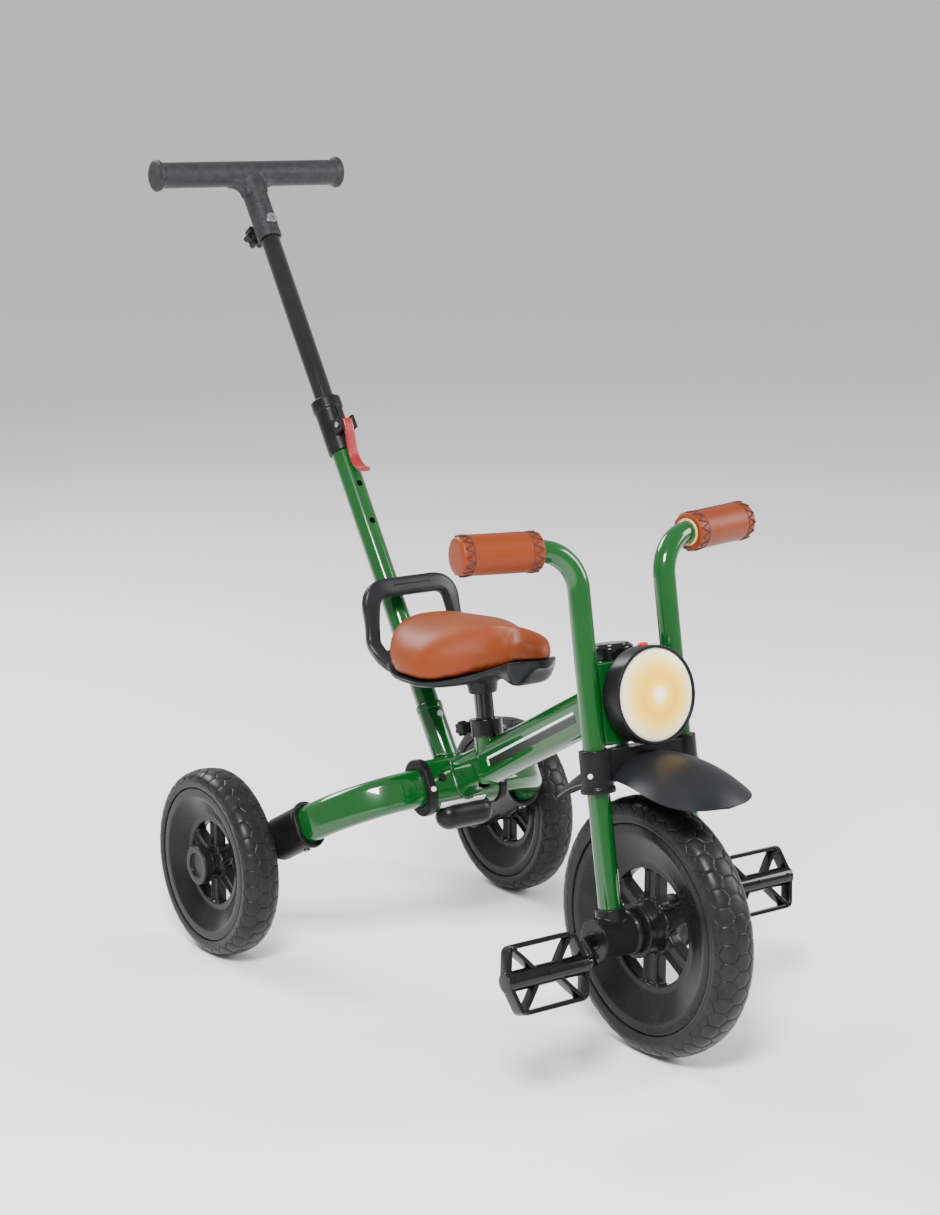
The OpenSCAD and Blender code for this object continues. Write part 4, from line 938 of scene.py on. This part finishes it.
def pin(place, x, y, r, flank, top, edge):
    """Upright grip pin: radius r up to flank mm each way, 0.4 mm narrower at its two ends."""
    outline = rounded([(0, -top), (r - 0.4, -top), (r, -flank), (r, flank), (r - 0.4, top), (0, top)], edge)
    return turned(moved(place, (x, y, 0)), outline, steps=24)


def pedal(place):
    """Open cage round the spindle: outline rails, slanted braces, a hub tube and grip pins."""
    l, w = PEDAL_L, PEDAL_W
    outline = rounded([
        (1.5, 0), (l * 0.11, w / 2 - 2), (l * 0.89, w / 2 - 2),
        (l - 1.5, 0), (l * 0.89, 2 - w / 2), (l * 0.11, 2 - w / 2)], 5, 6, closed=True)
    path = np.column_stack([outline, np.zeros(len(outline))])
    parts = [swept(place, path, box_outline(4.4, 14, 1.1), loop=True)]
    for s in (-1, 1):
        for x0, x1 in ((0.14, 0.36), (0.86, 0.64)):
            middle = [l * (x0 + x1) / 2, s * (w / 4 + 2), 0]
            brace = np.array([[l * x0, s * (w / 2 - 3), 0], middle, [l * x1, s * 6, 0]])
            parts.append(swept(place, brace, box_outline(4.2, 12, 1.0)))
    hub = rounded([(6.05, 0.2), (9.2, 0.2), (9.5, 1.4), (9.5, 90.6), (9.0, 91.8), (6.05, 91.8)], 0.8, closed=True)
    parts += [turned(place, hub, "x", 64, loop=True), rod(place, 9.3, 87, 91.9, "x", 1.0)]
    for a in (-1, 1):
        parts += [pin(place, l / 2 + a * l * 0.36, b * (w / 2 - 4), 3.1, 7, 9, 0.7) for b in (-1, 1)]
    return parts + [pin(place, x, 0, 2.6, 9, 10.9, 0.6) for x in (8, l / 2, l - 8)]


def pedal_frame(side):
    """Frame of a pedal: x runs out along its spindle, and its platform hangs 70 degrees below level."""
    tilt = math.radians(PEDAL_TILT)

    def place(points):
        p = np.asarray(points, float)
        y = p[..., 1] * math.cos(tilt) - p[..., 2] * math.sin(tilt)
        z = p[..., 1] * math.sin(tilt) + p[..., 2] * math.cos(tilt)
        return FRONT_AXLE(np.stack([side * (PEDAL_X + p[..., 0]), side * CRANK_L + y, z], -1))
    return place


for side, word in ((1, "left"), (-1, "right")):
    name = "pedal_" + word
    piece("pedal_cage_" + word, pedal(pedal_frame(side)), gloss_plastic, name, [name])

# ---- seat post and its clamp ----

def fluted(t, h):
    """Ten grooves down the post, each with a flat bottom."""
    return 1 - 0.075 * np.clip(np.sin(10 * t) * 1.6 - 0.2, 0, 1)


post_outline = [(0, 3), (9.9, 3), (9.9, 30), (9.9, 60), (9.9, 91), (0, 91)]
post = turned(SEAT, post_outline, steps=160, shape=fluted)
piece("fluted_post", [post], black_paint, "saddle", ["seat_post"], 30)
softened("post_collar", "seat_clamp", 0.6, 3, gloss_plastic, "frame", sharp=50)
softened("post_knob", "seat_knob", 0.6, 3, black_plastic, "seat_knob")

# ---- saddle ----


def saddle_half(s):
    """Half width at s: a round nose, a widening to the broad rear and the rear's closing curve."""
    nose = SADDLE_W * 0.155
    tip = nose * np.sqrt(np.clip(1 - (1 - np.minimum(s / 0.14, 1)) ** 2, 0, 1))
    widening = (SADDLE_W / 2 - nose) * step((s - 0.2) / 0.38)
    closing = np.sqrt(np.clip(1 - np.clip((s - 0.62) / 0.38, 0, 1) ** 2.2, 0, 1))
    return (tip + widening) * closing + 3 * bump_at(s, 0.11, 0.06) * step(s / 0.05)


def saddle_rim(s):
    return SADDLE_Z + 36 * (1 - step(s / 0.55)) + 20 * step((s - 0.7) / 0.3)


def stations(rings):
    """Places along the saddle from nose 0 to rear 1, closer together towards both ends."""
    return (0.5 - 0.5 * np.cos(np.pi * (np.arange(rings) + 0.35) / (rings - 0.3)))[:, None]


def signed_power(v, e):
    return np.sign(v) * np.abs(v) ** e


def saddle_skin(shrink, rings=110, around=72):
    """Cushion as rings across: half width and height by powers of cos and sin over a flat bottom."""
    s, a = stations(rings), np.linspace(0, np.pi, around)[None]
    half = np.maximum(saddle_half(s) - shrink, 0.4)
    low = saddle_rim(s) + 0.6
    swell = np.sqrt(np.clip(1 - np.abs(2 * s - 1) ** 16, 0, 1)) * (1 + 0.1 * bump_at(s, 0.1, 0.08))
    high = swell * (SADDLE_TOP - 5 * step(s / 0.8) - low) - shrink
    fill = 0.75 - 0.17 * (1 - step(s / 0.3))
    x = half * signed_power(np.cos(a), fill)
    z = low + np.maximum(high, 0.5) * np.abs(np.sin(a)) ** fill
    y = SADDLE_REAR - SADDLE_L * (1 - s) + 0 * a
    floor_x = half * np.linspace(-0.96, 0.96, 20)[None]
    top = np.stack([x, y, z], -1)
    bottom = np.stack([floor_x, y[:, :1] + 0 * floor_x, low + 0 * floor_x], -1)
    return shell(BUILD(np.concatenate([top, bottom], 1)), loop_u=False, loop_v=True)


def stuffed(obj, cap, pressure, frames=20):
    """Blows a closed mesh up a little as cloth, keeps each point within cap metres of its start, and applies it."""
    start = np.empty(len(obj.data.vertices) * 3)
    obj.data.vertices.foreach_get("co", start)
    cloth = obj.modifiers.new("cloth", "CLOTH")
    cloth.settings.use_pressure = True
    cloth.settings.uniform_pressure_force = pressure
    cloth.settings.effector_weights.gravity = 0
    cloth.settings.quality = 6
    cloth.point_cache.frame_start, cloth.point_cache.frame_end = 1, frames
    scene = bpy.context.scene
    for f in range(1, frames + 1):
        scene.frame_set(f)
    swollen = bpy.data.meshes.new_from_object(obj.evaluated_get(bpy.context.evaluated_depsgraph_get()))
    end = np.empty_like(start)
    swollen.vertices.foreach_get("co", end)
    a, b = start.reshape(-1, 3), end.reshape(-1, 3)
    d = b - a
    far = np.linalg.norm(d, axis=1)
    d *= (np.minimum(far, cap) / np.maximum(far, 1e-9))[:, None]
    swollen.vertices.foreach_set("co", (a + d).ravel())
    scene.frame_set(1)
    obj.modifiers.clear()
    obj.data = swollen


def remeshed(name, parts, voxel, passes):
    work = bpy.data.objects.new(name, mesh_of(name, parts))
    bpy.context.scene.collection.objects.link(work)
    remesh = work.modifiers.new("remesh", "REMESH")
    remesh.mode = "VOXEL"
    remesh.voxel_size = voxel * MM
    smooth = work.modifiers.new("smooth", "SMOOTH")
    smooth.iterations = passes
    mesh = bpy.data.meshes.new_from_object(work.evaluated_get(bpy.context.evaluated_depsgraph_get()))
    work.modifiers.clear()
    work.data = mesh
    return work


def make_cushion():
    work = remeshed("cushion_work", [saddle_skin(1.6)], 4.2, 2)
    stuffed(work, 0.006, 4.0)
    mesh = work.data
    co = np.empty(len(mesh.vertices) * 3)
    mesh.vertices.foreach_get("co", co)
    p = co.reshape(-1, 3)
    y = p[:, 1] / MM + MID_Y
    nose_y = SADDLE_REAR - SADDLE_L
    s = np.clip((y - nose_y) / SADDLE_L, 0, 1)
    half = np.maximum(saddle_half(s), 3) * MM
    low = (saddle_rim(s) + 0.35) * MM
    p[:, 2] = np.maximum(p[:, 2], low)
    p[:, 0] = np.clip(p[:, 0], -half, half)
    p[:, 1] = np.clip(p[:, 1], (nose_y + 0.2 - MID_Y) * MM, (SADDLE_REAR - MID_Y) * MM)
    mesh.vertices.foreach_set("co", p.ravel())
    smooth = work.modifiers.new("ease", "SMOOTH")
    smooth.iterations = 2
    sub = work.modifiers.new("sub", "SUBSURF")
    sub.levels = sub.render_levels = 1
    final = bpy.data.meshes.new_from_object(work.evaluated_get(bpy.context.evaluated_depsgraph_get()))
    bpy.data.objects.remove(work)
    obj = piece("saddle_pad", final, saddle_leather, "saddle", ["saddle_cushion"], 180)


make_cushion()


def pan_depth(s):
    return 8.5 + 17 * step((s - 0.01) / 0.1) * (1 - step((s - 0.13) / 0.15))


def pan_bowl(rings=90, around=48):
    """Shallow bowl under the cushion: half width and depth by powers of cos and sin below a flat top."""
    s, a = stations(rings), np.linspace(np.pi, 2 * np.pi, around)[None]
    half = np.maximum(saddle_half(s) + 0.9, 0.6)
    x = half * signed_power(np.cos(a), 0.42)
    z = saddle_rim(s) - 0.3 - pan_depth(s) * np.abs(np.sin(a)) ** 0.8
    lip = half * np.linspace(0.97, -0.97, 16)[None]
    top_z = saddle_rim(s) - 0.3 + 0 * lip
    y = SADDLE_REAR + 0.9 - (SADDLE_L + 1.6) * (1 - s)
    across, high = np.hstack([x, lip]), np.hstack([z, top_z])
    tube_front = CROSS_Y - 9.8 + (high - 214) * math.tan(math.radians(POLE_LEAN))
    over = np.maximum(y - tube_front, 0) * step((19 - np.abs(across)) / 4)
    grid = np.stack([across, y - over, high], -1)
    return shell(BUILD(grid), loop_u=False, loop_v=True)


def lift_loop():
    """Carrying loop: an arch whose legs run down and forward into the sides of the pan."""
    half = np.array([[-54, 344, 318], [-62, 372, 327], [-56, 402, 338], [-53.4, 407, 352], [-50, 417.2, 393.5]])
    corners = np.vstack([half, half[::-1] * np.array([-1, 1, 1])])
    path = evened(rounded(corners, [0, 16, 16, 9, 60, 60, 9, 16, 16, 0], 14), 120)
    widen = 1 + 0.34 * step((path[:, 2] - 352) / 34)
    scale = np.stack([np.ones_like(widen), widen], -1)
    return swept(BUILD, path, box_outline(11.8, 15.4, 4.2), path - np.array([0, 396, 352]), scale=scale)


mouth_outline = rounded([(0, 74), (14.6, 74), (16.2, 84), (19, 95), (0, 95)], [0, 2, 3, 2, 0])
pan_parts = [pan_bowl(), lift_loop(), turned(SEAT, mouth_outline, steps=64)]
fused("saddle_pan", pan_parts, 1.25, 3, grey_plastic, "saddle", ["saddle_base"])


def loop_face(x, rise):
    """Point on the front face of the carrying loop, rise mm up from its foot."""
    a = math.radians(80)
    return np.stack([x, 401.2 + rise * math.cos(a) + 0 * x, 334 + rise * math.sin(a) + 0 * x], -1)


panel = rounded([(-24, 54), (24, 54), (24, 64), (-24, 64)], 2.5, 5, closed=True)
panel_edge = swept(BUILD, loop_face(*panel.T), circle(0.7, 10), (0.1, 1, 0.1), loop=True)
piece("loop_panel_edge", [panel_edge], grey_plastic, "saddle")

# ---- push bar ----

socket = ring(POLE, 14, 12.55, 20, 80, edge=0.3)
collar = ring(POLE, 14.6, 12.55, 79.8, 87, edge=0.8)
piece("bar_socket", [socket, collar], green_paint, "frame", ["push_socket"])
carried(green_paint, "lower_push_tube")
softened("bar_clamp", "pole_clamp", 0.85, 2, black_plastic, "frame", sharp=50)
LEVER = moved(POLE, (0, LEVER_P, LEVER_Q))


def lever_bar():
    """Lever down from its pin, p = 10 step(t / 0.75) - 5 - 14 t^7, a little narrower at both ends."""
    t = np.linspace(0, 1, 40)
    path = np.stack([0 * t, 10 * step(t / 0.75) - 5 - 14 * t ** 7, 4 - LEVER_L * t], -1)
    width = np.clip(1.02 - 0.25 * np.abs(t - 0.5) ** 2, 0, 1)
    scale = np.stack([width, np.ones_like(t)], -1)
    return swept(LEVER, path, box_outline(12, 4.6, 1.6), (0, 1, 0), scale=scale)


lever_parts = [lever_bar(), rod(LEVER, 6.2, -6, 6, "x", 1.2)]
fused("quick_lever", lever_parts, 0.6, 3, lever_plastic, "clamp_lever", ["clamp_lever"])
piece("lever_pin", [rod(LEVER, 3, -12.5, 12.5, "x", 0.5)], zinc, "clamp_lever")
tube = ring(POLE, 10.75, 8.95, 357, 721, edge=0.3, steps=96)
piece("upper_bar", [tube], black_paint, "push_bar", ["upper_push_tube"])
softened("tee_handle", "push_handle", 1.25, 4, handle_plastic, "push_bar")
softened("tee_knob", "star_knob", 0.6, 3, black_plastic, "star_knob")
